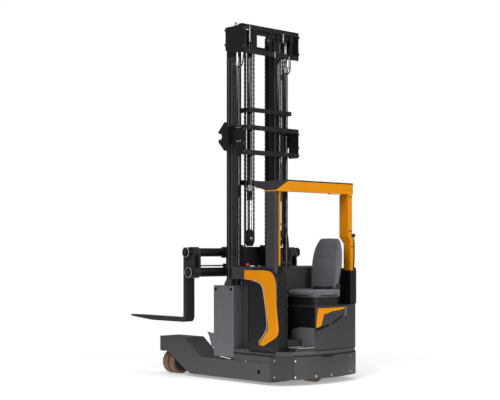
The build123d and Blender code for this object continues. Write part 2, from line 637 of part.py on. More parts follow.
with BuildPart() as guard_top:
    with BuildSketch(Plane.XZ.offset(-GUARD_REAR_Y)):
        Polygon(
            (-GUARD_X, GUARD_BEAM_BOTTOM_Z + 27 - GUARD_COVER_T),
            (-GUARD_X, GUARD_BEAM_BOTTOM_Z + 27),
            (-GUARD_BEVEL_X, GUARD_TOP_Z),
            (GUARD_RIGHT_X, GUARD_TOP_Z),
            (GUARD_RIGHT_X, GUARD_TOP_Z - GUARD_COVER_T),
            (-GUARD_BEVEL_X, GUARD_TOP_Z - GUARD_COVER_T),
            align=None,
        )
    extrude(amount=GUARD_REAR_Y - GUARD_FRONT_Y)
    with BuildSketch(Plane.XY.offset(GUARD_BEAM_BOTTOM_Z - 1)):
        roof_plan()
    extrude(amount=GUARD_TOP_Z - GUARD_BEAM_BOTTOM_Z + 2, mode=Mode.INTERSECT)
guard_top.part.label = "guard_top"
export_step(guard_top.part, "parts/guard_top.step")

# Controls on the hood in front of the driver: wheel, levers and a screen
with BuildPart() as controls:
    block(-CONSOLE_IN_X, -CONSOLE_IN_X + 70, BACK_CORNER_Y + 60, HOOD_REAR_Y - 5, CONSOLE_TOP_Z - 90,
          CONSOLE_TOP_Z - 10)
    rod("Z", -CONSOLE_IN_X + 40, SEAT_Y, CONSOLE_TOP_Z + 20, 14.0, 60.0)
    rod("Z", -CONSOLE_IN_X + 40, SEAT_Y, CONSOLE_TOP_Z + 58, 110.0, 22.0)
controls.part.label = "controls"
export_step(controls.part, "parts/controls.step")

# Load wheels and their steering heads
for side, word in ((-1, "left"), (1, "right")):
    pin_x = side * LOAD_PIN_X
    half = (LOAD_WHEEL_PITCH + LOAD_WHEEL_W) / 2
    with BuildPart() as load_head:
        rod("Z", pin_x, LOAD_PIN_Y, BAY_TOP_Z - 6 - LOAD_HEAD_T / 2 + 1, LOAD_HEAD_R, LOAD_HEAD_T - 2)
        rod("Z", pin_x, LOAD_PIN_Y, BAY_TOP_Z + 12, LOAD_STEM_R, 40.0)
        block(pin_x - 45, pin_x + 45, LOAD_PIN_Y - LOAD_PLATE_W / 2, LOAD_PIN_Y + LOAD_PLATE_W / 2,
              LOAD_WHEEL_R - 34, BAY_TOP_Z - 8)
        rod("Y", pin_x, LOAD_PIN_Y, LOAD_WHEEL_R, LOAD_AXLE_R, 2 * half - 10)
    load_head.part.label = "load_head_" + word
    export_step(load_head.part, "parts/load_head_" + word + ".step")

    with BuildPart() as load_rims:
        for row in (-1, 1):
            y = LOAD_PIN_Y + row * LOAD_WHEEL_PITCH / 2
            rod("Y", pin_x, y, LOAD_WHEEL_R, LOAD_RIM_R, LOAD_WHEEL_W)
            rod("Y", pin_x, y + row * LOAD_WHEEL_W / 2, LOAD_WHEEL_R, LOAD_RIM_R - 22, 24.0, mode=Mode.SUBTRACT)
            rod("Y", pin_x, y, LOAD_WHEEL_R, LOAD_AXLE_R + ROD_FIT, LOAD_WHEEL_W + 2, mode=Mode.SUBTRACT)
    load_rims.part.label = "load_rims_" + word
    export_step(load_rims.part, "parts/load_rims_" + word + ".step")

    with BuildPart() as load_treads:
        for row in (-1, 1):
            y = LOAD_PIN_Y + row * LOAD_WHEEL_PITCH / 2
            rod("Y", pin_x, y, LOAD_WHEEL_R, LOAD_WHEEL_R, LOAD_WHEEL_W)
            rod("Y", pin_x, y, LOAD_WHEEL_R, LOAD_RIM_R + SEAT_GAP, LOAD_WHEEL_W + 2, mode=Mode.SUBTRACT)
    load_treads.part.label = "load_treads_" + word
    export_step(load_treads.part, "parts/load_treads_" + word + ".step")

# Drive wheel in its turning head
with BuildPart() as drive_head:
    rod("Z", DRIVE_X, DRIVE_Y, DRIVE_PLATE_Z + DRIVE_PLATE_T / 2, DRIVE_HEAD_R, DRIVE_PLATE_T)
    rod("Z", DRIVE_X, DRIVE_Y, DRIVE_PLATE_Z + 40, DRIVE_STEM_R, 60.0)
    for row in (-1, 1):
        cheek_y = DRIVE_Y + row * (DRIVE_W / 2 + 10 + DRIVE_CHEEK / 2)
        block(DRIVE_X - 75, DRIVE_X + 75, cheek_y - DRIVE_CHEEK / 2, cheek_y + DRIVE_CHEEK / 2, DRIVE_R - 60,
              DRIVE_PLATE_Z + 5)
    rod("Y", DRIVE_X, DRIVE_Y, DRIVE_R, DRIVE_AXLE_R, DRIVE_W + 30)
drive_head.part.label = "drive_head"
export_step(drive_head.part, "parts/drive_head.step")

with BuildPart() as drive_rim:
    rod("Y", DRIVE_X, DRIVE_Y, DRIVE_R, DRIVE_RIM_R, DRIVE_W - 10)
    rod("Y", DRIVE_X, DRIVE_Y, DRIVE_R, DRIVE_AXLE_R + ROD_FIT, DRIVE_W + 2, mode=Mode.SUBTRACT)
drive_rim.part.label = "drive_rim"
export_step(drive_rim.part, "parts/drive_rim.step")

with BuildPart() as drive_tyre:
    rod("Y", DRIVE_X, DRIVE_Y, DRIVE_R, DRIVE_R, DRIVE_W)
    rod("Y", DRIVE_X, DRIVE_Y, DRIVE_R, DRIVE_RIM_R + SEAT_GAP, DRIVE_W + 2, mode=Mode.SUBTRACT)
drive_tyre.part.label = "drive_tyre"
export_step(drive_tyre.part, "parts/drive_tyre.step")

# Reach carriage: two side plates and a floor plate with rollers that run in the arms
with BuildPart() as reach_carriage:
    for side in (-1, 1):
        block(side * (RAIL_OUT["web_out"] + 0.5), side * (ARM_IN_X - 5), REACH_ROLLER_YS[0] - 50,
              REACH_ROLLER_YS[1] + 60, MAST_BOTTOM_Z - 15, 470.0)
    block(-ARM_IN_X + 5, ARM_IN_X - 5, REACH_ROLLER_YS[0] - 50, REACH_ROLLER_YS[1] + 60, 45.0, MAST_BOTTOM_Z - 14)
    for side in (-1, 1):
        for y in REACH_ROLLER_YS:
            rod("X", side * (ARM_IN_X + 2), y, REACH_ROLLER_Z, 18.0, 16.0)
reach_carriage.part.label = "reach_carriage"
export_step(reach_carriage.part, "parts/reach_carriage.step")

with BuildPart() as reach_rollers:
    for side in (-1, 1):
        for y in REACH_ROLLER_YS:
            rod("X", side * (ARM_IN_X + 24), y, REACH_ROLLER_Z, REACH_ROLLER_R, 28.0)
reach_rollers.part.label = "reach_rollers"
export_step(reach_rollers.part, "parts/reach_rollers.step")

# Outer mast rails with feet
with BuildPart() as mast_outer:
    for side in (-1, 1):
        r = RAIL_OUT
        block(side * r["web_in"], side * r["web_out"], r["rear"], r["front"], MAST_BOTTOM_Z, MAST_TOP_Z)
        for y in (r["rear"], r["front"] - r["flange"]):
            block(side * r["lip"], side * r["web_out"], y, y + r["flange"], MAST_BOTTOM_Z, MAST_TOP_Z)
    block(-r["web_out"], r["web_out"], r["rear"], r["front"], MAST_BOTTOM_Z - 14, MAST_BOTTOM_Z)
mast_outer.part.label = "mast_outer"
export_step(mast_outer.part, "parts/mast_outer.step")

# Rollers that the outer rails hold in the middle rails' outer channel
with BuildPart() as outer_rollers:
    r = RAIL_MID
    for side in (-1, 1):
        for z in STAGE_ROLLER_ZS:
            x_mid = RAIL_OUT["web_in"] - STAGE_STUD - STAGE_ROLLER_W / 2
            rod("X", side * x_mid, (r["rear"] + r["front"]) / 2, z,
                (r["front"] - r["rear"]) / 2 - r["flange"] - SEAT_GAP, STAGE_ROLLER_W)
            rod("X", side * (RAIL_OUT["web_in"] - STAGE_STUD / 2), (r["rear"] + r["front"]) / 2, z, 20.0, STAGE_STUD)
outer_rollers.part.label = "outer_rollers"
export_step(outer_rollers.part, "parts/outer_rollers.step")

# Ties round the back of the outer rails: the head frame and the yoke with its claws
with BuildPart() as mast_ties:
    for rear_y, z0, z1 in ((HEAD_REAR_Y, HEAD_BOTTOM_REAR_Z, HEAD_TOP_Z), (YOKE_REAR_Y, YOKE_BOTTOM_Z, YOKE_TOP_Z)):
        for z in (z0, z1 - TIE_BAR):
            block(-HEAD_X, HEAD_X, rear_y, rear_y + 20, z, z + TIE_BAR)
        for side in (-1, 1):
            block(side * (RAIL_OUT["web_out"] + SEAT_GAP), side * (HEAD_X - TIE_PLATE + 1), YOKE_FRONT_Y - 45,
                  YOKE_FRONT_Y - 5, z1 - 190, z1 - 40)
    for side in (-1, 1):
        plate_x = side * (HEAD_X - TIE_PLATE / 2)
        with BuildSketch(Plane.YZ.offset(plate_x)):
            Polygon(
                (HEAD_REAR_Y, HEAD_BOTTOM_REAR_Z),
                (HEAD_FRONT_Y, HEAD_BOTTOM_FRONT_Z),
                (HEAD_FRONT_Y, HEAD_TOP_Z),
                (HEAD_REAR_Y, HEAD_TOP_Z),
                align=None,
            )
        extrude(amount=TIE_PLATE / 2, both=True)
        with BuildSketch(Plane.YZ.offset(plate_x)):
            Polygon(
                (YOKE_REAR_Y, YOKE_BOTTOM_Z),
                (YOKE_TAB_Y, YOKE_BOTTOM_Z),
                (YOKE_TAB_Y, YOKE_STEP_Z),
                (YOKE_FRONT_Y, YOKE_STEP_Z),
                (YOKE_FRONT_Y, YOKE_TOP_Z),
                (YOKE_REAR_Y, YOKE_TOP_Z),
                align=None,
            )
        extrude(amount=TIE_PLATE / 2, both=True)
        # Forked guide plate that stands out beside the rails
        block(side * (HEAD_X - 1), side * CLAW_X, YOKE_FRONT_Y - 70, YOKE_FRONT_Y - 30, YOKE_STEP_Z + 20, YOKE_TOP_Z - 20)
        with BuildSketch(Plane.YZ.offset(side * (CLAW_X - TIE_PLATE))):
            with BuildLine():
                Polyline(
                    (YOKE_FRONT_Y - 75, YOKE_STEP_Z - 20),
                    (CLAW_Y - 126, YOKE_STEP_Z - 80),
                    (CLAW_Y - 106, YOKE_STEP_Z - 80),
                    (CLAW_Y, YOKE_STEP_Z + 30),
                    (CLAW_Y - 8, YOKE_STEP_Z + 50),
                    (CLAW_Y - 28, YOKE_STEP_Z + 48),
                )
                ThreePointArc(
                    (CLAW_Y - 28, YOKE_STEP_Z + 48),
                    (CLAW_Y - 58, (YOKE_STEP_Z + YOKE_TOP_Z) / 2),
                    (CLAW_Y - 28, YOKE_TOP_Z - 85),
                )
                Polyline(
                    (CLAW_Y - 28, YOKE_TOP_Z - 85),
                    (CLAW_Y - 8, YOKE_TOP_Z - 87),
                    (CLAW_Y, YOKE_TOP_Z - 67),
                    (CLAW_Y - 106, YOKE_TOP_Z + 43),
                    (CLAW_Y - 126, YOKE_TOP_Z + 43),
                    (YOKE_FRONT_Y - 75, YOKE_TOP_Z - 17),
                    (YOKE_FRONT_Y - 75, YOKE_STEP_Z - 20),
                )
            make_face()
        extrude(amount=TIE_PLATE, both=True)
mast_ties.part.label = "mast_ties"
export_step(mast_ties.part, "parts/mast_ties.step")

# Long lift cylinders beside the outer rails, clamped to them
with BuildPart() as lift_tubes:
    for side in (-1, 1):
        x = side * MAIN_CYL_X
        rod("Z", x, MAIN_CYL_Y, (MAIN_CYL_BOTTOM_Z + MAIN_CYL_TOP_Z) / 2, MAIN_CYL_R,
            MAIN_CYL_TOP_Z - MAIN_CYL_BOTTOM_Z)
        for z in CLAMP_ZS:
            block(side * (RAIL_OUT["web_out"] + SEAT_GAP), side * (MAIN_CYL_X - 10), RAIL_OUT["rear"] - 50,
                  RAIL_OUT["rear"] + 36, z - 30, z + 30)
        rod("Z", x, MAIN_CYL_Y, (MAIN_CYL_BOTTOM_Z + MAIN_CYL_TOP_Z) / 2 - 20, MAIN_ROD_R + 4,
            MAIN_CYL_TOP_Z - MAIN_CYL_BOTTOM_Z - 100, mode=Mode.SUBTRACT)
        rod("Z", x, MAIN_CYL_Y, MAIN_CYL_TOP_Z, MAIN_ROD_R + ROD_FIT, 300.0, mode=Mode.SUBTRACT)
lift_tubes.part.label = "lift_tubes"
export_step(lift_tubes.part, "parts/lift_tubes.step")

# Middle stage rails
with BuildPart() as mast_middle:
    r = RAIL_MID
    for side in (-1, 1):
        block(side * r["web_in"], side * r["web_out"], r["rear"], r["front"], STAGE_BOTTOM_Z, MAST_TOP_Z - 20)
        for y in (r["rear"], r["front"] - r["flange"]):
            block(side * r["lip"], side * r["out"], y, y + r["flange"], STAGE_BOTTOM_Z, MAST_TOP_Z - 20)
mast_middle.part.label = "mast_middle"
export_step(mast_middle.part, "parts/mast_middle.step")

# Ties behind the middle rails, with the ears that the long rods push on
with BuildPart() as middle_ties:
    r = RAIL_MID
    strut_out = MIDDLE_STRUT_X + MIDDLE_STRUT_W
    for z in MIDDLE_TIE_ZS:
        for side in (-1, 1):
            block(side * r["lip"], side * (RAIL_OUT["lip"] - 6), RAIL_OUT["rear"] - 30, r["rear"] - SEAT_GAP, z, z + EAR_H)
            block(side * r["lip"], side * strut_out, RAIL_OUT["rear"] - 30, RAIL_OUT["rear"] - 12, z, z + EAR_H)
            block(side * MIDDLE_STRUT_X, side * strut_out, MIDDLE_TIE_Y, RAIL_OUT["rear"] - 12, z, z + EAR_H)
        block(-strut_out, strut_out, MIDDLE_TIE_Y, MIDDLE_TIE_Y + 26, z, z + EAR_H)
    for side in (-1, 1):
        block(side * MIDDLE_STRUT_X, side * (MAIN_CYL_X + MAIN_ROD_R), MAIN_CYL_Y - 28, RAIL_OUT["rear"] - 12, EAR_Z,
              EAR_Z + EAR_H)
middle_ties.part.label = "middle_ties"
export_step(middle_ties.part, "parts/middle_ties.step")

with BuildPart() as lift_rods:
    for side in (-1, 1):
        rod("Z", side * MAIN_CYL_X, MAIN_CYL_Y, (MAIN_CYL_BOTTOM_Z + 60 + EAR_Z) / 2, MAIN_ROD_R,
            EAR_Z - MAIN_CYL_BOTTOM_Z - 60)
lift_rods.part.label = "lift_rods"
export_step(lift_rods.part, "parts/lift_rods.step")

# Rollers that the middle rails hold in the inner rails' outer channel
with BuildPart() as middle_rollers:
    r = RAIL_INN
    for side in (-1, 1):
        for z in STAGE_ROLLER_ZS:
            x_mid = RAIL_MID["web_in"] - STAGE_STUD - STAGE_ROLLER_W / 2
            rod("X", side * x_mid, (r["rear"] + r["front"]) / 2, z,
                (r["front"] - r["rear"]) / 2 - r["flange"] - SEAT_GAP, STAGE_ROLLER_W)
            rod("X", side * (RAIL_MID["web_in"] - STAGE_STUD / 2), (r["rear"] + r["front"]) / 2, z, 16.0, STAGE_STUD)
middle_rollers.part.label = "middle_rollers"
export_step(middle_rollers.part, "parts/middle_rollers.step")

# Inner stage: rails, cross ties and the seats of the two short cylinders behind them
with BuildPart() as mast_inner:
    r = RAIL_INN
    for side in (-1, 1):
        block(side * r["web_in"], side * r["web_out"], r["rear"], r["front"], STAGE_BOTTOM_Z, MAST_TOP_Z - 40)
        for y in (r["rear"], r["front"] - r["flange"]):
            block(side * r["lip"], side * r["out"], y, y + r["flange"], STAGE_BOTTOM_Z, MAST_TOP_Z - 40)
    tie_half = RAIL_MID["lip"] - 6
    for z in INNER_TIE_ZS:
        block(-tie_half, tie_half, r["rear"] - 30, r["rear"] + 1, z, z + INNER_TIE_H)
    for side in (-1, 1):
        # Upright plates between the rails and the short cylinders, and the caps over these
        for z0, z1 in ((INNER_TIE_ZS[1], INNER_TIE_ZS[1] + INNER_TIE_H), (INNER_TIE_ZS[0], PULLEY_Z + 33)):
            block(side * (INNER_TIE_X - 20), side * INNER_TIE_X, FREE_CYL_Y - 10, r["rear"] - 29, z0, z1)
        block(side * (INNER_TIE_X - 20), side * (FREE_CYL_X + CHAIN_REACH + 6), FREE_CYL_Y - 20, FREE_CYL_Y + 20,
              FREE_CYL_TOP_Z + SEAT_GAP, FREE_CYL_TOP_Z + 22)
        # Pin of the chain pulley
        rod("X", side * (FREE_CYL_X - CHAIN_REACH + 10), PULLEY_Y, PULLEY_Z, 16.0, 52.0)
mast_inner.part.label = "mast_inner"
export_step(mast_inner.part, "parts/mast_inner.step")

# Pulleys that lead the chains over the top to the fork carriage
with BuildPart() as head_pulleys:
    for side in (-1, 1):
        x = side * (FREE_CYL_X - CHAIN_REACH)
        rod("X", x, PULLEY_Y, PULLEY_Z, PULLEY_R, CHAIN_W - 8)
        for rim in (-1, 1):
            rod("X", x + rim * (CHAIN_W / 2 - 6), PULLEY_Y, PULLEY_Z, PULLEY_R - 8, 8.0)
        rod("X", x, PULLEY_Y, PULLEY_Z, 16.0 + ROD_FIT, 60.0, mode=Mode.SUBTRACT)
head_pulleys.part.label = "head_pulleys"
export_step(head_pulleys.part, "parts/head_pulleys.step")

with BuildPart() as free_tubes:
    for side in (-1, 1):
        x = side * FREE_CYL_X
        rod("Z", x, FREE_CYL_Y, (FREE_CYL_BOTTOM_Z + FREE_CYL_TOP_Z) / 2, FREE_CYL_R,
            FREE_CYL_TOP_Z - FREE_CYL_BOTTOM_Z)
        rod("Z", x, FREE_CYL_Y, FREE_CYL_BOTTOM_Z + GLAND_H + COLLAR_H / 2, FREE_CYL_R + 2, COLLAR_H)
        rod("Z", x, FREE_CYL_Y, (FREE_CYL_BOTTOM_Z + FREE_CYL_TOP_Z) / 2, FREE_ROD_R + 3,
            FREE_CYL_TOP_Z - FREE_CYL_BOTTOM_Z - 120, mode=Mode.SUBTRACT)
        rod("Z", x, FREE_CYL_Y, FREE_CYL_BOTTOM_Z, FREE_ROD_R + ROD_FIT, 300.0, mode=Mode.SUBTRACT)
free_tubes.part.label = "free_tubes"
export_step(free_tubes.part, "parts/free_tubes.step")

# Short rods with the sheave blocks at their lower ends
with BuildPart() as free_rods:
    for side in (-1, 1):
        x = side * FREE_CYL_X
        rod("Z", x, FREE_CYL_Y, (SHEAVE_TOP_Z + FREE_ROD_TOP_Z) / 2 - 5, FREE_ROD_R, FREE_ROD_TOP_Z - SHEAVE_TOP_Z + 10)
        for plate in (-1, 1):
            with BuildSketch(Plane.XZ.offset(-FREE_CYL_Y + plate * 20)):
                with BuildLine():
                    Polyline(
                        (x - SHEAVE_HALF * 0.6, SHEAVE_TOP_Z - 20),
                        (x - SHEAVE_HALF, SHEAVE_PIN_Z + 34),
                        (x - SHEAVE_HALF, SHEAVE_PIN_Z - 34),
                        (x - SHEAVE_HALF * 0.5, SHEAVE_BOTTOM_Z),
                        (x + SHEAVE_HALF * 0.5, SHEAVE_BOTTOM_Z),
                        (x + SHEAVE_HALF, SHEAVE_PIN_Z - 34),
                        (x + SHEAVE_HALF, SHEAVE_PIN_Z + 34),
                        (x + SHEAVE_HALF * 0.6, SHEAVE_TOP_Z - 20),
                    )
                    ThreePointArc(
                        (x + SHEAVE_HALF * 0.6, SHEAVE_TOP_Z - 20),
                        (x, SHEAVE_TOP_Z),
                        (x - SHEAVE_HALF * 0.6, SHEAVE_TOP_Z - 20),
                    )
                make_face()
            extrude(amount=4, both=True)
        block(x - 26, x + 26, FREE_CYL_Y - 20, FREE_CYL_Y + 20, SHEAVE_PIN_Z + SHEAVE_R + 3, SHEAVE_TOP_Z - 8)
        rod("Y", x, FREE_CYL_Y, SHEAVE_PIN_Z, 14.0, 58.0)
        rod("Y", x, FREE_CYL_Y, SHEAVE_PIN_Z, SHEAVE_R, CHAIN_W)
free_rods.part.label = "free_rods"
export_step(free_rods.part, "parts/free_rods.step")

# Lift chains behind the rails: each goes under its sheave, up both sides of the cylinder
with BuildPart() as lift_chains:
    for side in (-1, 1):
        for reach, top_z in ((-CHAIN_REACH, PULLEY_Z - 40), (CHAIN_REACH, FREE_CYL_TOP_Z)):
            x = side * (FREE_CYL_X + reach)
            block(x - CHAIN_T / 2, x + CHAIN_T / 2, FREE_CYL_Y - CHAIN_W / 2, FREE_CYL_Y + CHAIN_W / 2, SHEAVE_PIN_Z,
                  top_z)
lift_chains.part.label = "lift_chains"
export_step(lift_chains.part, "parts/lift_chains.step")

# Chains from the pulleys down to the fork carriage
with BuildPart() as front_chains:
    y = 2 * PULLEY_Y - FREE_CYL_Y
    for side in (-1, 1):
        x = side * (FREE_CYL_X - CHAIN_REACH)
        block(x - CHAIN_W / 2, x + CHAIN_W / 2, y - CHAIN_T / 2, y + CHAIN_T / 2, CARRIAGE_TOP_Z - 30, PULLEY_Z)
front_chains.part.label = "front_chains"
export_step(front_chains.part, "parts/front_chains.step")

# Fork carriage: roller plates that run in the inner rails, with bearings for the upper tube
with BuildPart() as carriage:
    chain_y = 2 * PULLEY_Y - FREE_CYL_Y
    for side in (-1, 1):
        with BuildSketch(Plane.YZ.offset(side * (CARRIAGE_PLATE_X + CARRIAGE_PLATE_T / 2))):
            Polygon(
                (RAIL_INN["rear"] + 10, CARRIAGE_BOTTOM_Z + 30),
                (RAIL_INN["rear"] + 40, CARRIAGE_BOTTOM_Z),
                (RAIL_INN["front"], CARRIAGE_BOTTOM_Z),
                (CARRIAGE_FRONT_Y + 10, CARRIAGE_FACE_BOTTOM_Z),
                (CARRIAGE_FRONT_Y + 10, CARRIAGE_TOP_Z),
                (RAIL_INN["rear"] + 10, CARRIAGE_TOP_Z),
                align=None,
            )
        extrude(amount=CARRIAGE_PLATE_T / 2, both=True)
        for z in CARRIAGE_ROLLER_ZS:
            stud_end = CARRIAGE_ROLLER_X - CARRIAGE_ROLLER_W / 2
            rod("X", side * (CARRIAGE_PLATE_X + stud_end) / 2, CARRIAGE_ROLLER_Y, z, 16.0, stud_end - CARRIAGE_PLATE_X)
        # Seat of the chain's end, beside the roller plate
        block(side * (FREE_CYL_X - CHAIN_REACH - CHAIN_W / 2 - 2), side * (CARRIAGE_PLATE_X + 1), chain_y - 17,
              chain_y + 17, CARRIAGE_TOP_Z - 90, CARRIAGE_TOP_Z - 30 - SEAT_GAP)
        for x in BEARING_XS:
            block(side * (x - 20), side * (x + 20), CARRIAGE_FACE_Y - 1, TUBE_Y, UPPER_TUBE_Z - 45,
                  UPPER_TUBE_Z + 45)
            rod("X", side * x, TUBE_Y, UPPER_TUBE_Z, UPPER_TUBE_R + 16, 40.0)
    block(-BEARING_XS[-1] - 20, BEARING_XS[-1] + 20, CARRIAGE_FACE_Y - 14, CARRIAGE_FACE_Y, CARRIAGE_FACE_BOTTOM_Z,
          CARRIAGE_TOP_Z - 20)
    rod("X", 0, TUBE_Y, UPPER_TUBE_Z, UPPER_TUBE_R + TILT_FIT, 2 * TUBE_HALF, mode=Mode.SUBTRACT)
carriage.part.label = "carriage"
export_step(carriage.part, "parts/carriage.step")

with BuildPart() as carriage_rollers:
    for side in (-1, 1):
        for z in CARRIAGE_ROLLER_ZS:
            rod("X", side * CARRIAGE_ROLLER_X, CARRIAGE_ROLLER_Y, z, CARRIAGE_ROLLER_R, CARRIAGE_ROLLER_W)
carriage_rollers.part.label = "carriage_rollers"
export_step(carriage_rollers.part, "parts/carriage_rollers.step")

# Two cross tubes with capped ends that tilt together and carry the forks
with BuildPart() as beams:
    for z, radius, half in ((UPPER_TUBE_Z, UPPER_TUBE_R, TUBE_HALF), (LOWER_TUBE_Z, LOWER_TUBE_R, LOWER_TUBE_HALF)):
        rod("X", 0, TUBE_Y, z, radius, 2 * half)
        for side in (-1, 1):
            rod("X", side * (half - TUBE_CAP_T / 2), TUBE_Y, z, radius + TUBE_CAP_REACH, TUBE_CAP_T)
    for side in (-1, 1):
        for x in LINK_XS:
            with BuildSketch(Plane.YZ.offset(side * x)):
                with Locations((TUBE_Y, (UPPER_TUBE_Z + LOWER_TUBE_Z) / 2)):
                    Rectangle(LINK_W, UPPER_TUBE_Z - LOWER_TUBE_Z)
            extrude(amount=LINK_T / 2, both=True)
beams.part.label = "beams"
export_step(beams.part, "parts/beams.step")

# Forks with the tapered hangers that slide along the tubes
for side, word in ((-1, "left"), (1, "right")):
    with BuildPart() as fork:
        with BuildSketch(Plane.YZ.offset(side * FORK_X)):
            with BuildLine():
                Polyline(
                    (FORK_BACK_Y, FORK_TOP_Z),
                    (FORK_BACK_Y, FORK_BOTTOM_Z + 60),
                )
                ThreePointArc(
                    (FORK_BACK_Y, FORK_BOTTOM_Z + 60),
                    (FORK_BACK_Y + 18, FORK_BOTTOM_Z + 18),
                    (FORK_BACK_Y + 60, FORK_BOTTOM_Z),
                )
                Polyline(
                    (FORK_BACK_Y + 60, FORK_BOTTOM_Z),
                    (FORK_TIP_Y - FORK_TAPER_L, FORK_BOTTOM_Z),
                    (FORK_TIP_Y, FORK_BOTTOM_Z + FORK_T - FORK_TIP_T),
                    (FORK_TIP_Y, FORK_BOTTOM_Z + FORK_T),
                    (FORK_BACK_Y + FORK_T + 18, FORK_BOTTOM_Z + FORK_T),
                    (FORK_BACK_Y + FORK_T, FORK_BOTTOM_Z + FORK_T + 18),
                    (FORK_BACK_Y + FORK_T, FORK_TOP_Z),
                    (FORK_BACK_Y, FORK_TOP_Z),
                )
            make_face()
        extrude(amount=FORK_W / 2, both=True)
        # Narrower tip in plan
        with BuildSketch(Plane.XY.offset(FORK_BOTTOM_Z - 1)):
            Polygon(
                (side * FORK_X - FORK_W / 2, FORK_BACK_Y - 1),
                (side * FORK_X - FORK_W / 2, FORK_TIP_Y - 150),
                (side * FORK_X - FORK_TIP_W / 2, FORK_TIP_Y - 25),
                (side * FORK_X - FORK_TIP_W / 4, FORK_TIP_Y),
                (side * FORK_X + FORK_TIP_W / 4, FORK_TIP_Y),
                (side * FORK_X + FORK_TIP_W / 2, FORK_TIP_Y - 25),
                (side * FORK_X + FORK_W / 2, FORK_TIP_Y - 150),
                (side * FORK_X + FORK_W / 2, FORK_BACK_Y - 1),
                align=None,
            )
        extrude(amount=FORK_TOP_Z - FORK_BOTTOM_Z + 2, mode=Mode.INTERSECT)
        for edge in (-1, 1):
            hanger_x = side * FORK_X + edge * (FORK_W / 2 - 10 - HANGER_T / 2)
            with BuildSketch(Plane.YZ.offset(hanger_x)):
                with Locations((TUBE_Y, UPPER_TUBE_Z)):
                    Circle(UPPER_TUBE_R + HUB_WALL)
                with Locations((TUBE_Y, LOWER_TUBE_Z)):
                    Circle(LOWER_TUBE_R + HUB_WALL)
                make_hull()
            extrude(amount=HANGER_T / 2, both=True)
        for z, tube_r in ((UPPER_TUBE_Z, UPPER_TUBE_R), (LOWER_TUBE_Z, LOWER_TUBE_R)):
            rod("X", side * FORK_X, TUBE_Y, z, tube_r + HUB_WALL, FORK_W - 20)
            block(side * (FORK_X - FORK_W / 2 + 10), side * (FORK_X + FORK_W / 2 - 10), TUBE_Y, FORK_BACK_Y + 1,
                  z - 40, z + 40)
        for z, tube_r in ((UPPER_TUBE_Z, UPPER_TUBE_R), (LOWER_TUBE_Z, LOWER_TUBE_R)):
            rod("X", side * FORK_X, TUBE_Y, z, tube_r + HUB_FIT, FORK_W + 40, mode=Mode.SUBTRACT)
    fork.part.label = "fork_" + word
    export_step(fork.part, "parts/fork_" + word + ".step")
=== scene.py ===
# %% [markdown]
# # A multi-directional reach truck, dressed in Blender
# The truck's solid parts come from a CAD model. This lesson gives each part a finish, adds the small things
# that the solids leave out, and lights the truck like a studio photograph. Every length is in metres, with
# +Z up, +Y towards the fork tips and +X to the right arm.

# %% Load the parts
import bpy
import bmesh
import math
from mathutils import Matrix, Vector


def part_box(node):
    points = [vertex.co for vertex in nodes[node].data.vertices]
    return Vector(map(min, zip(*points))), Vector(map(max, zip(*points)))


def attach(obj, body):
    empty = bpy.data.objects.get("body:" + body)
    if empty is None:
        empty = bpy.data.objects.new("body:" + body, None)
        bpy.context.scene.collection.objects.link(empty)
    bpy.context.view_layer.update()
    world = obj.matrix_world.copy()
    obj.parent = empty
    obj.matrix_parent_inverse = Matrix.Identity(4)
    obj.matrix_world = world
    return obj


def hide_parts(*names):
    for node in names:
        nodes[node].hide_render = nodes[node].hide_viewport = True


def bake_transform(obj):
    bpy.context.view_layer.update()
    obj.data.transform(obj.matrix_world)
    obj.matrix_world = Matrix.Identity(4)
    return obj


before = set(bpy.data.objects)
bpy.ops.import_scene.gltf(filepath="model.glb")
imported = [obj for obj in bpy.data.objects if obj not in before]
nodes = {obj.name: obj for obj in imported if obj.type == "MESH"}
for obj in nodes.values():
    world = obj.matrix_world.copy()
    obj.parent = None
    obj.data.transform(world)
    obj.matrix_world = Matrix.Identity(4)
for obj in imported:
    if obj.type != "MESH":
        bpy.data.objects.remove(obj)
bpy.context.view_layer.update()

# %% [markdown]
# ## Camera
# The photograph was taken from the left rear with a long lens at chest height. Its upright edges stay
# parallel, so the camera stands level and the picture is moved up with a lens shift instead of a tilt.
# Tilting the camera would be simpler, but then the tall mast would lean.

# %% Set the camera
bpy.context.scene.view_settings.view_transform = "Standard"
camera_data = bpy.data.cameras.new("photo camera")
camera_data.sensor_width = 36.0
camera_data.lens = 83.66
camera_data.shift_y = 0.1
camera_data.clip_end = 200.0
camera = bpy.data.objects.new("photo camera", camera_data)
camera.location = (-9.6373, -10.1271, 1.5)
camera.rotation_euler = (math.radians(90.0), 0.0, math.radians(-43.5))
bpy.context.scene.collection.objects.link(camera)
bpy.context.scene.camera = camera
print("camera lens:", camera_data.lens)

# %% [markdown]
# ## Light and floor
# A white studio has one large lamp above the camera's left shoulder, a fill from the other side and a pale
# surround. The surround is dimmer for the truck than for the camera, and dimmer still in reflections: the Light
# Path node shows pure white behind the truck without pouring that light on it. Two tall strips at truck height
# draw the thin bright lines on the mast's round tubes, which lamps overhead can't do. The floor is a disc that
# fades out, so no horizon shows.

# %% World
world = bpy.data.worlds.new("white studio")
bpy.context.scene.world = world
world.use_nodes = True
tree = world.node_tree
tree.nodes.clear()
path = tree.nodes.new("ShaderNodeLightPath")
seen = tree.nodes.new("ShaderNodeMath")
seen.operation = "MAXIMUM"
tree.links.new(path.outputs["Is Camera Ray"], seen.inputs[0])
tree.links.new(path.outputs["Is Transmission Ray"], seen.inputs[1])


def background(color, strength):
    """One plain light colour of the surround."""
    plain = tree.nodes.new("ShaderNodeBackground")
    plain.inputs["Color"].default_value = color
    plain.inputs["Strength"].default_value = strength
    return plain


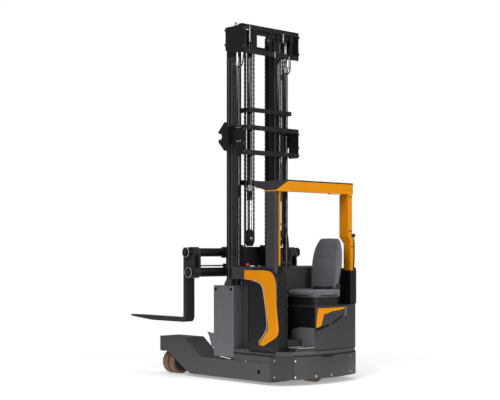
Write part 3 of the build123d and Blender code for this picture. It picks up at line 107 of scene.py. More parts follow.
COOL_WHITE = (0.95, 0.97, 1.0, 1.0)
PURE_WHITE = (1.0, 1.0, 1.0, 1.0)
surround = background(COOL_WHITE, 0.42)
white = background(PURE_WHITE, 1.0)
dim = background(COOL_WHITE, 0.20)
mirrored = tree.nodes.new("ShaderNodeMixShader")
tree.links.new(path.outputs["Is Glossy Ray"], mirrored.inputs["Fac"])
tree.links.new(surround.outputs[0], mirrored.inputs[1])
tree.links.new(dim.outputs[0], mirrored.inputs[2])
choose = tree.nodes.new("ShaderNodeMixShader")
tree.links.new(seen.outputs[0], choose.inputs["Fac"])
tree.links.new(mirrored.outputs[0], choose.inputs[1])
tree.links.new(white.outputs[0], choose.inputs[2])
out = tree.nodes.new("ShaderNodeOutputWorld")
tree.links.new(choose.outputs[0], out.inputs["Surface"])
print("surround strength:", surround.inputs["Strength"].default_value)

# %% Lamps
LAMPS = [
    # name, place, aim, width, height, power
    ("key lamp", (-7.5, -4.0, 6.5), (0.0, 0.0, 1.4), 4.0, 4.0, 430.0),
    ("fill lamp", (2.5, -8.0, 4.0), (0.0, 0.0, 1.2), 4.0, 4.0, 80.0),
    ("left strip", (-8.0, 0.6, 2.6), (0.0, 0.0, 2.6), 0.35, 5.2, 30.0),
    ("rear strip", (0.9, -8.0, 2.6), (0.0, 0.0, 2.6), 0.35, 5.2, 220.0),
    ("top lamp", (-1.0, -1.0, 9.0), (0.0, 0.0, 0.0), 5.0, 5.0, 260.0),
]
for lamp_name, place, aim, lamp_width, lamp_height, power in LAMPS:
    lamp_data = bpy.data.lights.new(lamp_name, "AREA")
    lamp_data.shape = "RECTANGLE"
    lamp_data.size = lamp_width
    lamp_data.size_y = lamp_height
    lamp_data.energy = power
    lamp = bpy.data.objects.new(lamp_name, lamp_data)
    lamp.location = place
    lamp.rotation_euler = (Vector(aim) - Vector(place)).to_track_quat("-Z", "Y").to_euler()
    bpy.context.scene.collection.objects.link(lamp)
    print(lamp_name, power)

# %% [markdown]
# ### Floor
# Under the truck the paper floor is matt and catches the shadow. A plane with a hard rim would show as a line
# behind the truck, so the floor's material turns clear with the distance from its middle.

# %% Floor
FLOOR_RADIUS = 6.0
FADE_START, FADE_END = 1.9, 4.2
floor_mesh = bpy.data.meshes.new("studio floor")
bm = bmesh.new()
bmesh.ops.create_circle(bm, cap_ends=True, radius=FLOOR_RADIUS, segments=96)
bm.to_mesh(floor_mesh)
bm.free()
studio_floor = bpy.data.objects.new("studio_floor", floor_mesh)
bpy.context.scene.collection.objects.link(studio_floor)
floor_mat = bpy.data.materials.new("studio floor")
floor_mat.use_nodes = True
tree = floor_mat.node_tree
tree.nodes.clear()
coords = tree.nodes.new("ShaderNodeTexCoord")
radius = tree.nodes.new("ShaderNodeVectorMath")
radius.operation = "LENGTH"
tree.links.new(coords.outputs["Object"], radius.inputs[0])
fade = tree.nodes.new("ShaderNodeMapRange")
fade.inputs["From Min"].default_value = FADE_START
fade.inputs["From Max"].default_value = FADE_END
fade.interpolation_type = "SMOOTHERSTEP"
tree.links.new(radius.outputs["Value"], fade.inputs["Value"])
paper = tree.nodes.new("ShaderNodeBsdfPrincipled")
paper.inputs["Base Color"].default_value = (0.93, 0.93, 0.93, 1.0)
paper.inputs["Roughness"].default_value = 0.6
paper.inputs["Specular IOR Level"].default_value = 0.2
paper.inputs["Emission Color"].default_value = PURE_WHITE
paper.inputs["Emission Strength"].default_value = 0.32
clear = tree.nodes.new("ShaderNodeBsdfTransparent")
mix = tree.nodes.new("ShaderNodeMixShader")
tree.links.new(fade.outputs["Result"], mix.inputs["Fac"])
tree.links.new(paper.outputs[0], mix.inputs[1])
tree.links.new(clear.outputs[0], mix.inputs[2])
out = tree.nodes.new("ShaderNodeOutputMaterial")
tree.links.new(mix.outputs[0], out.inputs["Surface"])
floor_mesh.materials.append(floor_mat)
print("floor radius:", FLOOR_RADIUS)

# %% [markdown]
# ## Shared effects
# Paint, plastic and rubber all need the same few effects: a fine grain, edges rubbed bright, and dust that
# lies low on the truck. Each is a node group with its own sliders, built once and used in many materials.
# Copying the nodes into each material would work too, but then one change would have to be made ten times.

# %% Grain group
def new_group(name, inputs, outputs):
    """A shader group with named number inputs (with defaults) and named outputs."""
    group = bpy.data.node_groups.new(name, "ShaderNodeTree")
    for label, value in inputs:
        socket = group.interface.new_socket(name=label, in_out="INPUT", socket_type="NodeSocketFloat")
        socket.default_value = value
    for label, kind in outputs:
        group.interface.new_socket(name=label, in_out="OUTPUT", socket_type=kind)
    entry = group.nodes.new("NodeGroupInput")
    leave = group.nodes.new("NodeGroupOutput")
    return group, entry, leave


grain_group, entry, leave = new_group(
    "fine grain", [("Scale", 900.0), ("Softness", 0.5)], [("Height", "NodeSocketFloat"), ("Cloud", "NodeSocketFloat")])
coords = grain_group.nodes.new("ShaderNodeTexCoord")
fine = grain_group.nodes.new("ShaderNodeTexNoise")
fine.inputs["Detail"].default_value = 2.0
grain_group.links.new(coords.outputs["Object"], fine.inputs["Vector"])
grain_group.links.new(entry.outputs["Scale"], fine.inputs["Scale"])
grain_group.links.new(entry.outputs["Softness"], fine.inputs["Roughness"])
broad = grain_group.nodes.new("ShaderNodeTexNoise")
broad.inputs["Scale"].default_value = 3.5
broad.inputs["Detail"].default_value = 3.0
grain_group.links.new(coords.outputs["Object"], broad.inputs["Vector"])
grain_group.links.new(fine.outputs["Fac"], leave.inputs["Height"])
grain_group.links.new(broad.outputs["Fac"], leave.inputs["Cloud"])
print("group:", grain_group.name)

# %% [markdown]
# ### Rubbed edges
# Paint wears off along edges first. The Bevel node rounds the surface normal near an edge, so where it differs
# from the true normal there is an edge. A cloudy noise breaks the line up, as real wear does. Painting the wear
# by hand would need a map for each part.

# %% Rubbed edge group
def product(tree, first, second):
    """The product of two values."""
    times = tree.nodes.new("ShaderNodeMath")
    times.operation = "MULTIPLY"
    tree.links.new(first, times.inputs[0])
    tree.links.new(second, times.inputs[1])
    return times.outputs[0]


edge_group, entry, leave = new_group(
    "rubbed edge", [("Width", 0.004), ("Amount", 0.5), ("Patch Size", 14.0)], [("Mask", "NodeSocketFloat")])
geometry = edge_group.nodes.new("ShaderNodeNewGeometry")
rounded = edge_group.nodes.new("ShaderNodeBevel")
rounded.samples = 4
edge_group.links.new(entry.outputs["Width"], rounded.inputs["Radius"])
facing = edge_group.nodes.new("ShaderNodeVectorMath")
facing.operation = "DOT_PRODUCT"
edge_group.links.new(rounded.outputs["Normal"], facing.inputs[0])
edge_group.links.new(geometry.outputs["Normal"], facing.inputs[1])
edge = edge_group.nodes.new("ShaderNodeMapRange")
edge.inputs["From Min"].default_value = 0.985
edge.inputs["From Max"].default_value = 0.82
edge_group.links.new(facing.outputs["Value"], edge.inputs["Value"])
coords = edge_group.nodes.new("ShaderNodeTexCoord")
patch = edge_group.nodes.new("ShaderNodeTexNoise")
patch.inputs["Detail"].default_value = 6.0
patch.inputs["Roughness"].default_value = 0.7
edge_group.links.new(coords.outputs["Object"], patch.inputs["Vector"])
edge_group.links.new(entry.outputs["Patch Size"], patch.inputs["Scale"])
broken = edge_group.nodes.new("ShaderNodeMapRange")
broken.inputs["From Min"].default_value = 0.45
broken.inputs["From Max"].default_value = 0.62
edge_group.links.new(patch.outputs["Fac"], broken.inputs["Value"])
broken_edge = product(edge_group, edge.outputs["Result"], broken.outputs["Result"])
edge_group.links.new(product(edge_group, broken_edge, entry.outputs["Amount"]), leave.inputs["Mask"])
print("group:", edge_group.name)

# %% [markdown]
# ### Dust near the floor
# A truck gathers dust from the floor up. The mask fades with height and is broken up by a fine noise. It reads
# the Object coordinates, which are the truck's own frame, so the dust stays put when a part moves.

# %% Low dust group
dust_group, entry, leave = new_group(
    "low dust", [("Top", 0.5), ("Amount", 0.3), ("Scale", 9.0)], [("Mask", "NodeSocketFloat")])
coords = dust_group.nodes.new("ShaderNodeTexCoord")
split = dust_group.nodes.new("ShaderNodeSeparateXYZ")
dust_group.links.new(coords.outputs["Object"], split.inputs[0])
low = dust_group.nodes.new("ShaderNodeMapRange")
low.inputs["From Max"].default_value = 0.0
dust_group.links.new(entry.outputs["Top"], low.inputs["From Min"])
dust_group.links.new(split.outputs["Z"], low.inputs["Value"])
speck = dust_group.nodes.new("ShaderNodeTexNoise")
speck.inputs["Detail"].default_value = 8.0
speck.inputs["Roughness"].default_value = 0.65
dust_group.links.new(coords.outputs["Object"], speck.inputs["Vector"])
dust_group.links.new(entry.outputs["Scale"], speck.inputs["Scale"])
low_speck = product(dust_group, low.outputs["Result"], speck.outputs["Fac"])
dust_group.links.new(product(dust_group, low_speck, entry.outputs["Amount"]), leave.inputs["Mask"])
print("group:", dust_group.name)

# %% [markdown]
# ## Finishes
# One helper writes a material from a row of numbers: base colour, roughness, how metallic it is, a clear
# coat, the grain's size and depth, and how much edges are rubbed through to another colour. Enamel paint is
# smooth with a clear coat, powder coat on the mast is duller and grainy, and moulded plastic has a coarser
# pebble. A table of rows keeps the looks side by side, where they are easy to compare.

# %% Material helpers
def new_material(name):
    """A material with a Principled shader joined to its output."""
    mat = bpy.data.materials.new(name)
    mat.use_nodes = True
    tree = mat.node_tree
    tree.nodes.clear()
    shader = tree.nodes.new("ShaderNodeBsdfPrincipled")
    out = tree.nodes.new("ShaderNodeOutputMaterial")
    tree.links.new(shader.outputs[0], out.inputs["Surface"])
    return mat, tree, shader


def place_group(tree, group, label, value):
    """A shared effect placed in a material, with one slider set."""
    placed = tree.nodes.new("ShaderNodeGroup")
    placed.node_tree = group
    placed.inputs[label].default_value = value
    return placed


def mix_color(tree, mask, first, second):
    """Two colours mixed by a mask. Each is a plain colour or a socket."""
    mixed = tree.nodes.new("ShaderNodeMix")
    mixed.data_type = "RGBA"
    tree.links.new(mask, mixed.inputs["Factor"])
    for label, colour in (("A", first), ("B", second)):
        if isinstance(colour, bpy.types.NodeSocket):
            tree.links.new(colour, mixed.inputs[label])
        else:
            mixed.inputs[label].default_value = (*colour, 1.0)
    return mixed.outputs["Result"]


def add_bump(tree, shader, height, distance):
    """Turns a height value into bumps on the surface."""
    bump = tree.nodes.new("ShaderNodeBump")
    bump.inputs["Distance"].default_value = distance
    bump.inputs["Strength"].default_value = 1.0
    tree.links.new(height, bump.inputs["Height"])
    tree.links.new(bump.outputs["Normal"], shader.inputs["Normal"])


print("material helpers ready")

# %% Coated finish
DUST_COLOR = (0.30, 0.28, 0.25)


def finish_coat(name, color, rough, metal, coat, grain_scale, grain_depth, worn, worn_color, dust, shade=0.12,
                specular=0.5):
    """A coated surface with grain, rubbed edges and low dust."""
    mat, tree, shader = new_material(name)
    shader.inputs["Coat Roughness"].default_value = 0.12
    shader.inputs["Coat Weight"].default_value = coat
    shader.inputs["Specular IOR Level"].default_value = specular
    if metal > 0.0:
        shader.inputs["Metallic"].default_value = metal
    grain = place_group(tree, grain_group, "Scale", grain_scale)
    darker = [c * (1.0 - shade) for c in color]
    lighter = [min(1.0, c * (1.0 + shade)) for c in color]
    paint = mix_color(tree, grain.outputs["Cloud"], darker, lighter)
    edge = place_group(tree, edge_group, "Amount", worn)
    rubbed = mix_color(tree, edge.outputs["Mask"], paint, worn_color)
    dusty = place_group(tree, dust_group, "Amount", dust)
    powdered = mix_color(tree, dusty.outputs["Mask"], rubbed, DUST_COLOR)
    tree.links.new(powdered, shader.inputs["Base Color"])
    gloss = tree.nodes.new("ShaderNodeMapRange")
    gloss.inputs["To Min"].default_value = rough - 0.07
    gloss.inputs["To Max"].default_value = rough + 0.07
    tree.links.new(grain.outputs["Cloud"], gloss.inputs["Value"])
    duller = tree.nodes.new("ShaderNodeMath")
    duller.operation = "ADD"
    tree.links.new(gloss.outputs["Result"], duller.inputs[0])
    tree.links.new(dusty.outputs["Mask"], duller.inputs[1])
    tree.links.new(duller.outputs[0], shader.inputs["Roughness"])
    add_bump(tree, shader, grain.outputs["Height"], grain_depth)
    return mat


print("dust colour:", DUST_COLOR)

# %% [markdown]
# ### Table of finishes
# The truck has painted greys, an orange, near-black coats on the mast, bare and chromed steel, rubber and plastic.
# Each row was set by holding a render beside the photograph and moving its numbers. A measured paint chip would
# be surer, but a photograph is all there is.

# %% Make the finishes
COATS = [
    # name, colour, rough, metal, coat, grain size, grain depth, worn, worn colour, dust, specular
    ("grey enamel", (0.040, 0.040, 0.042), 0.36, 0.0, 0.04, 700.0, 6e-5, 0.40, (0.20, 0.20, 0.21), 0.03, 0.20),
    ("arm enamel", (0.054, 0.055, 0.058), 0.40, 0.0, 0.04, 700.0, 8e-5, 0.40, (0.22, 0.22, 0.22), 0.05, 0.30),
    # box enamel also paints the highlight lines on the mast rails
    ("box enamel", (0.110, 0.116, 0.124), 0.38, 0.0, 0.15, 700.0, 6e-5, 0.25, (0.25, 0.25, 0.26), 0.10, 0.45),
    ("orange enamel", (0.66, 0.228, 0.000), 0.34, 0.0, 0.00, 600.0, 5e-5, 0.15, (0.55, 0.21, 0.02), 0.03, 0.14),
    ("mast powder coat", (0.0075, 0.0075, 0.009), 0.34, 0.0, 0.0, 900.0, 8e-5, 0.45, (0.14, 0.14, 0.145), 0.08, 0.40),
    ("gloss black", (0.006, 0.006, 0.007), 0.10, 0.0, 0.40, 900.0, 3e-5, 0.30, (0.12, 0.12, 0.12), 0.05, 0.50),
    ("dark enamel", (0.0085, 0.0085, 0.0095), 0.26, 0.0, 0.15, 700.0, 5e-5, 0.30, (0.09, 0.09, 0.09), 0.10, 0.45),
    ("fork coat", (0.024, 0.024, 0.027), 0.44, 0.0, 0.05, 600.0, 1.5e-4, 0.55, (0.16, 0.16, 0.165), 0.08, 0.35),
    ("moulded plastic", (0.014, 0.014, 0.0155), 0.55, 0.0, 0.0, 420.0, 2.5e-4, 0.10, (0.08, 0.08, 0.08), 0.15, 0.40),
    ("battery case", (0.045, 0.047, 0.052), 0.50, 0.0, 0.0, 500.0, 1.0e-4, 0.20, (0.16, 0.16, 0.16), 0.20, 0.40),
    ("tan tread", (0.165, 0.088, 0.045), 0.62, 0.0, 0.0, 260.0, 3.0e-4, 0.15, (0.20, 0.12, 0.06), 0.18, 0.40),
    ("rubber hose", (0.018, 0.018, 0.020), 0.60, 0.0, 0.0, 800.0, 1.0e-4, 0.05, (0.05, 0.05, 0.05), 0.10, 0.35),
    ("dark gap", (0.006, 0.006, 0.007), 0.80, 0.0, 0.0, 500.0, 5e-5, 0.0, (0.02, 0.02, 0.02), 0.10, 0.10),
    # pale trim also paints a highlight line on the console and the light seen under the tower
    ("pale trim", (0.56, 0.57, 0.59), 0.34, 0.0, 0.10, 700.0, 5e-5, 0.10, (0.70, 0.70, 0.70), 0.10, 0.50),
    ("red cap", (0.56, 0.016, 0.012), 0.34, 0.0, 0.25, 600.0, 4e-5, 0.10, (0.40, 0.05, 0.04), 0.05, 0.50),
]
finishes = {}
for row in COATS:
    finishes[row[0]] = finish_coat(*row[:-1], specular=row[-1])
METALS = [
    ("chromed rod", (0.52, 0.53, 0.55), 0.14, 1.0, 0.0, 300.0, 1e-5, 0.0, (0.5, 0.5, 0.5), 0.0),
    ("turned steel", (0.36, 0.36, 0.37), 0.32, 1.0, 0.0, 800.0, 6e-5, 0.20, (0.6, 0.6, 0.6), 0.1),
    ("bright steel", (0.60, 0.60, 0.62), 0.26, 1.0, 0.0, 900.0, 4e-5, 0.20, (0.7, 0.7, 0.7), 0.1),
    ("dark steel", (0.085, 0.085, 0.09), 0.38, 0.8, 0.0, 700.0, 6e-5, 0.30, (0.3, 0.3, 0.3), 0.1),
    ("chain steel", (0.15, 0.15, 0.155), 0.36, 1.0, 0.0, 900.0, 4e-5, 0.20, (0.4, 0.4, 0.4), 0.0),
]
for row in METALS:
    finishes[row[0]] = finish_coat(*row, shade=0.06)
print("finishes:", len(finishes))

# %% [markdown]
# ## Seat cloth and tread plate
# Two finishes need a pattern. The seat cloth is a weave: two sets of fine waves cross at right angles, and
# their product gives both the bump and the shade, with a soft sheen over it. The tread plate has short raised
# bars that turn by a right angle from one cell to the next, like a chequer plate.

# %% Seat cloth
def wave(tree, vector, axis, scale):
    """Fine parallel waves along one axis."""
    lines = tree.nodes.new("ShaderNodeTexWave")
    lines.bands_direction = axis
    lines.inputs["Scale"].default_value = scale
    lines.inputs["Distortion"].default_value = 0.6
    lines.inputs["Detail"].default_value = 1.0
    tree.links.new(vector, lines.inputs["Vector"])
    return lines.outputs["Fac"]


THREAD_SCALE = 95.0
cloth_mat, tree, shader = new_material("seat cloth")
coords = tree.nodes.new("ShaderNodeTexCoord")
across = wave(tree, coords.outputs["Object"], "Y", THREAD_SCALE)
along = tree.nodes.new("ShaderNodeMath")
along.operation = "MAXIMUM"
tree.links.new(wave(tree, coords.outputs["Object"], "X", THREAD_SCALE), along.inputs[0])
tree.links.new(wave(tree, coords.outputs["Object"], "Z", THREAD_SCALE), along.inputs[1])
weave = product(tree, across, along.outputs[0])
cloud = place_group(tree, grain_group, "Scale", 1400.0)
thread = mix_color(tree, weave, (0.085, 0.090, 0.105), (0.185, 0.192, 0.215))
faded = tree.nodes.new("ShaderNodeMix")
faded.data_type = "RGBA"
faded.blend_type = "MULTIPLY"
faded.inputs["Factor"].default_value = 0.35
tree.links.new(thread, faded.inputs["A"])
tree.links.new(cloud.outputs["Cloud"], faded.inputs["B"])
tree.links.new(faded.outputs["Result"], shader.inputs["Base Color"])
shader.inputs["Roughness"].default_value = 0.88
shader.inputs["Sheen Weight"].default_value = 0.25
shader.inputs["Specular IOR Level"].default_value = 0.2
add_bump(tree, shader, weave, 0.0004)
finishes["seat cloth"] = cloth_mat
print("seat cloth nodes:", len(tree.nodes))

# %% Tread plate
plate_mat, tree, shader = new_material("tread plate")
coords = tree.nodes.new("ShaderNodeTexCoord")
cells = tree.nodes.new("ShaderNodeTexChecker")
cells.inputs["Scale"].default_value = 36.0
tree.links.new(coords.outputs["Object"], cells.inputs["Vector"])
bars = tree.nodes.new("ShaderNodeMix")
tree.links.new(cells.outputs["Fac"], bars.inputs["Factor"])
for socket_name, axis in (("A", "X"), ("B", "Y")):
    tree.links.new(wave(tree, coords.outputs["Object"], axis, 11.5), bars.inputs[socket_name])
raised = tree.nodes.new("ShaderNodeMapRange")
raised.interpolation_type = "SMOOTHSTEP"
raised.inputs["From Min"].default_value = 0.62
raised.inputs["From Max"].default_value = 0.80
tree.links.new(bars.outputs["Result"], raised.inputs["Value"])
shine = mix_color(tree, raised.outputs["Result"], (0.13, 0.13, 0.135), (0.42, 0.42, 0.43))
tree.links.new(shine, shader.inputs["Base Color"])
shader.inputs["Metallic"].default_value = 0.9
shader.inputs["Roughness"].default_value = 0.42
add_bump(tree, shader, raised.outputs["Result"], 0.0015)
finishes["tread plate"] = plate_mat
print("tread plate nodes:", len(tree.nodes))

# %% [markdown]
# ### Rod above, block below
# The hanging rods and the sheave blocks under them are one solid, but the rod is chromed and the block is
# painted. A height test in the material splits the two finishes. Cutting the solid in two would also do it, but
# the CAD parts stay as they are.

# %% Rod above, painted block below
BLOCK_TOP_Z = 1.7415
BLOCK_PAINT = (0.0085, 0.0085, 0.0095)
block_mat = finishes["chromed rod"].copy()
block_mat.name = "rod and block"
tree = block_mat.node_tree
shader = next(n for n in tree.nodes if n.bl_idname == "ShaderNodeBsdfPrincipled")
chrome_color = shader.inputs["Base Color"].links[0].from_socket
coords = tree.nodes.new("ShaderNodeTexCoord")
split = tree.nodes.new("ShaderNodeSeparateXYZ")
tree.links.new(coords.outputs["Object"], split.inputs[0])
painted_part = tree.nodes.new("ShaderNodeMath")
painted_part.operation = "LESS_THAN"
painted_part.inputs[1].default_value = BLOCK_TOP_Z
tree.links.new(split.outputs["Z"], painted_part.inputs[0])
two_tone = mix_color(tree, painted_part.outputs[0], chrome_color, BLOCK_PAINT)
tree.links.new(two_tone, shader.inputs["Base Color"])
bare_part = tree.nodes.new("ShaderNodeMath")
bare_part.operation = "SUBTRACT"
bare_part.inputs[0].default_value = 1.0
tree.links.new(painted_part.outputs[0], bare_part.inputs[1])
tree.links.new(bare_part.outputs[0], shader.inputs["Metallic"])
finishes["rod and block"] = block_mat
print("rod and block nodes:", len(tree.nodes))

# %% [markdown]
# ## Dressing the solid parts
# One table says which parts share a finish, so a change of paint is a change of one line. Setting materials part
# by part would repeat the same two lines fifty times.

# %% Dress the CAD parts
DRESS = {
    "grey enamel": ["skirt", "hood", "pod", "wall", "guard_left"],
    "dark enamel": ["console"],
    "gloss black": ["lift_tubes", "free_tubes"],
    "box enamel": ["towers"],
    "arm enamel": ["frame", "load_head_left", "load_head_right", "drive_head"],
    "orange enamel": ["console_band", "guard_right", "guard_roof", "guard_plate", "pod_accent"],
    "mast powder coat": ["reach_carriage", "mast_outer", "mast_ties", "mast_middle", "middle_ties",
                         "mast_inner", "lift_chains", "front_chains", "head_pulleys",
                         "carriage", "beams", "load_rims_left", "load_rims_right", "drive_rim"],
    "fork coat": ["fork_left", "fork_right"],
    "chromed rod": ["lift_rods"],
    "rod and block": ["free_rods"],
    "turned steel": ["reach_rollers", "outer_rollers", "middle_rollers", "carriage_rollers"],
    "moulded plastic": ["floor", "guard_top", "seat_base", "controls", "seat_cushion", "seat_back"],
    "battery case": ["battery"],
    "tan tread": ["load_treads_left", "load_treads_right", "drive_tyre"],
}
dressed = set()
for finish_name, names in DRESS.items():
    for node_name in names:
        node = nodes[node_name]
        if not node.material_slots:
            node.data.materials.append(finishes[finish_name])
        for slot in node.material_slots:
            slot.material = finishes[finish_name]
        dressed.add(node_name)
print("not dressed:", set(nodes) - dressed)

# %% [markdown]
# ## Helpers for added pieces
# Each added piece is one mesh that rides on one body of the truck. The helpers below collect solids in a
# bmesh, then turn them into an object with a finish and a body. Outlines are extruded straight, tubes follow a
# smooth curve through a few points, and plates on the bowed back are cut into strips that bend with it.

# %% Pieces, boxes and bars
def make_piece(name, bm, finish, body, smooth=False):
    """Turns a bmesh into a finished object that rides on a body."""
    bmesh.ops.recalc_face_normals(bm, faces=bm.faces)
    mesh = bpy.data.meshes.new(name)
    bm.to_mesh(mesh)
    bm.free()
    mesh.materials.append(finishes[finish])
    if smooth:
        mesh.shade_smooth()
    obj = bpy.data.objects.new(name, mesh)
    bpy.context.scene.collection.objects.link(obj)
    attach(obj, body)
    print(name, "faces:", len(mesh.polygons))
    return obj


def add_box(bm, low, high, bevel=0.0):
    """A box between two opposite corners, with its edges rounded off."""
    size = [abs(h - l) for l, h in zip(low, high)]
    centre = [(h + l) / 2 for l, h in zip(low, high)]
    made = bmesh.ops.create_cube(bm, size=1.0, matrix=Matrix.Translation(centre) @ Matrix.Diagonal((*size, 1.0)))
    if bevel > 0.0:
        edges = list({e for v in made["verts"] for e in v.link_edges})
        bmesh.ops.bevel(bm, geom=edges, offset=bevel, segments=2, profile=0.6, affect="EDGES")


def add_round(bm, start, end, radius, sides=24, bevel=0.0, radius_end=None):
    """A round bar between two points, perhaps tapered, with softened rims."""
    start, end = Vector(start), Vector(end)
    turn = (end - start).to_track_quat("Z", "Y").to_matrix().to_4x4()
    made = bmesh.ops.create_cone(bm, cap_ends=True, segments=sides, radius1=radius,
                                 radius2=radius if radius_end is None else radius_end,
                                 depth=(end - start).length,
                                 matrix=Matrix.Translation((start + end) / 2) @ turn)
    if bevel > 0.0:
        rims = [e for e in {e for v in made["verts"] for e in v.link_edges}
                if any(len(f.verts) > 4 for f in e.link_faces)]
        bmesh.ops.bevel(bm, geom=rims, offset=bevel, segments=2, profile=0.6, affect="EDGES")


print("box and bar helpers ready")

# %% Outlines, tubes and rings
def add_prism(bm, outline, axis, start, end, bevel=0.0):
    """An outline extruded along an axis. Outline points are the other two coordinates, in order."""
    def place(point, level):
        values = list(point)
        values.insert("XYZ".index(axis), level)
        return values
    verts = [bm.verts.new(place(p, start)) for p in outline]
    face = bm.faces.new(verts)
    pushed = bmesh.ops.extrude_face_region(bm, geom=[face])
    moved = [g for g in pushed["geom"] if isinstance(g, bmesh.types.BMVert)]
    step = [0.0, 0.0, 0.0]
    step["XYZ".index(axis)] = end - start
    bmesh.ops.translate(bm, verts=moved, vec=step)
    if bevel > 0.0:
        rims = list({e for v in verts + moved for e in v.link_edges})
        bmesh.ops.bevel(bm, geom=rims, offset=bevel, segments=2, profile=0.6, affect="EDGES")


def add_tube(bm, points, radius, sides=12, samples=8):
    """A round tube along a smooth curve through a few points."""
    curve = bpy.data.curves.new("tube path", "CURVE")
    curve.dimensions = "3D"
    curve.resolution_u = samples
    curve.bevel_depth = radius
    curve.bevel_resolution = max(0, sides // 4 - 1)
    curve.use_fill_caps = True
    spline = curve.splines.new("NURBS")
    spline.points.add(len(points) - 1)
    for slot_point, p in zip(spline.points, points):
        slot_point.co = (*p, 1.0)
    spline.order_u = min(4, len(points))
    spline.use_endpoint_u = True
    holder = bpy.data.objects.new("tube path", curve)
    bpy.context.scene.collection.objects.link(holder)
    swept = bpy.data.meshes.new_from_object(holder.evaluated_get(bpy.context.evaluated_depsgraph_get()))
    bm.from_mesh(swept)
    bpy.data.objects.remove(holder)
    bpy.data.curves.remove(curve)
    bpy.data.meshes.remove(swept)


def add_ring(bm, centre, axis, radius, thick, steps=48, sides=12):
    """A round ring about an axis."""
    turn = Vector(axis).to_track_quat("Z", "Y").to_matrix()
    loops = []
    for k in range(steps):
        angle = 2.0 * math.pi * k / steps
        outward = Vector((math.cos(angle), math.sin(angle), 0.0))
        loop = []
        for j in range(sides):
            tilt = 2.0 * math.pi * j / sides
            spot = outward * (radius + thick * math.cos(tilt)) + Vector((0.0, 0.0, thick * math.sin(tilt)))
            loop.append(bm.verts.new(Vector(centre) + turn @ spot))
        loops.append(loop)
    for k in range(steps):
        a, b = loops[k], loops[(k + 1) % steps]
        for j in range(sides):
            n = (j + 1) % sides
            bm.faces.new((a[j], a[n], b[n], b[j]))


print("outline, tube and ring helpers ready")

# %% Plates on the bowed back
def bow_y(x, inset):
    """Where the bowed back lies at this x, set in from the skirt's face."""
    shoulder, side = 0.517 - inset * 0.5, 0.663 - inset
    shoulder_y, middle_y, corner_y = -1.202 + inset, -1.298 + inset, -1.078 + inset * 0.4
    if abs(x) > shoulder:
        share = (abs(x) - shoulder) / (side - shoulder)
        return shoulder_y + share * (corner_y - shoulder_y)
    rise = shoulder_y - middle_y
    radius = (shoulder * shoulder + rise * rise) / (2 * rise)
    return middle_y + radius - math.sqrt(radius * radius - x * x)


def add_bowed(bm, outline, inset, depth, step=0.03):
    """A thin plate on the bowed back. The outline is in X and Z."""
    part = bmesh.new()
    add_prism(part, outline, "Y", 0.0, -depth)
    xs = [p[0] for p in outline]
    cut = min(xs) + step
    while cut < max(xs):
        bmesh.ops.bisect_plane(part, geom=part.verts[:] + part.edges[:] + part.faces[:], plane_co=(cut, 0, 0),
                               plane_no=(1, 0, 0))
        cut += step
    for vert in part.verts:
        vert.co.y += bow_y(vert.co.x, inset)
    flat = bpy.data.meshes.new("bowed part")
    part.to_mesh(flat)
    part.free()
    bm.from_mesh(flat)
    bpy.data.meshes.remove(flat)


print("bow at the middle:", bow_y(0.0, 0.0))

# %% [markdown]
# ## Fasteners with Geometry Nodes
# Bolts repeat all over the truck, so one node tree sets them: it reads points, turns a bolt head to each
# point's direction and scales it to each point's size. A loop of copied objects would do the same, but the
# tree keeps the head's shape in one place, and its sliders can be changed after the points are set.

# %% Fastener tree
WASHER_RADIUS, WASHER_THICK = 1.4, 0.24  # shares of the bolt head's radius
bolt_tree = bpy.data.node_groups.new("set bolts", "GeometryNodeTree")
bolt_tree.interface.new_socket(name="Points", in_out="INPUT", socket_type="NodeSocketGeometry")
sides_socket = bolt_tree.interface.new_socket(name="Head Sides", in_out="INPUT", socket_type="NodeSocketInt")
sides_socket.default_value = 6
height_socket = bolt_tree.interface.new_socket(name="Head Height", in_out="INPUT", socket_type="NodeSocketFloat")
height_socket.default_value = 0.8
bolt_material_socket = bolt_tree.interface.new_socket(name="Finish", in_out="INPUT",
                                                      socket_type="NodeSocketMaterial")
bolt_tree.interface.new_socket(name="Bolts", in_out="OUTPUT", socket_type="NodeSocketGeometry")
nodes_in = bolt_tree.nodes.new("NodeGroupInput")
nodes_out = bolt_tree.nodes.new("NodeGroupOutput")
head = bolt_tree.nodes.new("GeometryNodeMeshCylinder")
head.inputs["Radius"].default_value = 1.0
bolt_tree.links.new(nodes_in.outputs["Head Sides"], head.inputs["Vertices"])
bolt_tree.links.new(nodes_in.outputs["Head Height"], head.inputs["Depth"])
lift = bolt_tree.nodes.new("GeometryNodeTransform")
half_height = bolt_tree.nodes.new("ShaderNodeMath")
half_height.operation = "MULTIPLY"
half_height.inputs[1].default_value = 0.5
bolt_tree.links.new(nodes_in.outputs["Head Height"], half_height.inputs[0])
offset = bolt_tree.nodes.new("ShaderNodeCombineXYZ")
bolt_tree.links.new(half_height.outputs[0], offset.inputs["Z"])
bolt_tree.links.new(head.outputs["Mesh"], lift.inputs["Geometry"])
bolt_tree.links.new(offset.outputs[0], lift.inputs["Translation"])
washer = bolt_tree.nodes.new("GeometryNodeMeshCylinder")
washer.inputs["Vertices"].default_value = 18
washer.inputs["Radius"].default_value = WASHER_RADIUS
washer.inputs["Depth"].default_value = WASHER_THICK
joined = bolt_tree.nodes.new("GeometryNodeJoinGeometry")
bolt_tree.links.new(lift.outputs[0], joined.inputs[0])
bolt_tree.links.new(washer.outputs["Mesh"], joined.inputs[0])
aim = bolt_tree.nodes.new("GeometryNodeInputNamedAttribute")
aim.data_type = "FLOAT_VECTOR"
aim.inputs["Name"].default_value = "aim"
turned = bolt_tree.nodes.new("FunctionNodeAlignRotationToVector")
turned.axis = "Z"
bolt_tree.links.new(aim.outputs["Attribute"], turned.inputs["Vector"])
size = bolt_tree.nodes.new("GeometryNodeInputNamedAttribute")
size.data_type = "FLOAT"
size.inputs["Name"].default_value = "size"
spread = bolt_tree.nodes.new("GeometryNodeInstanceOnPoints")
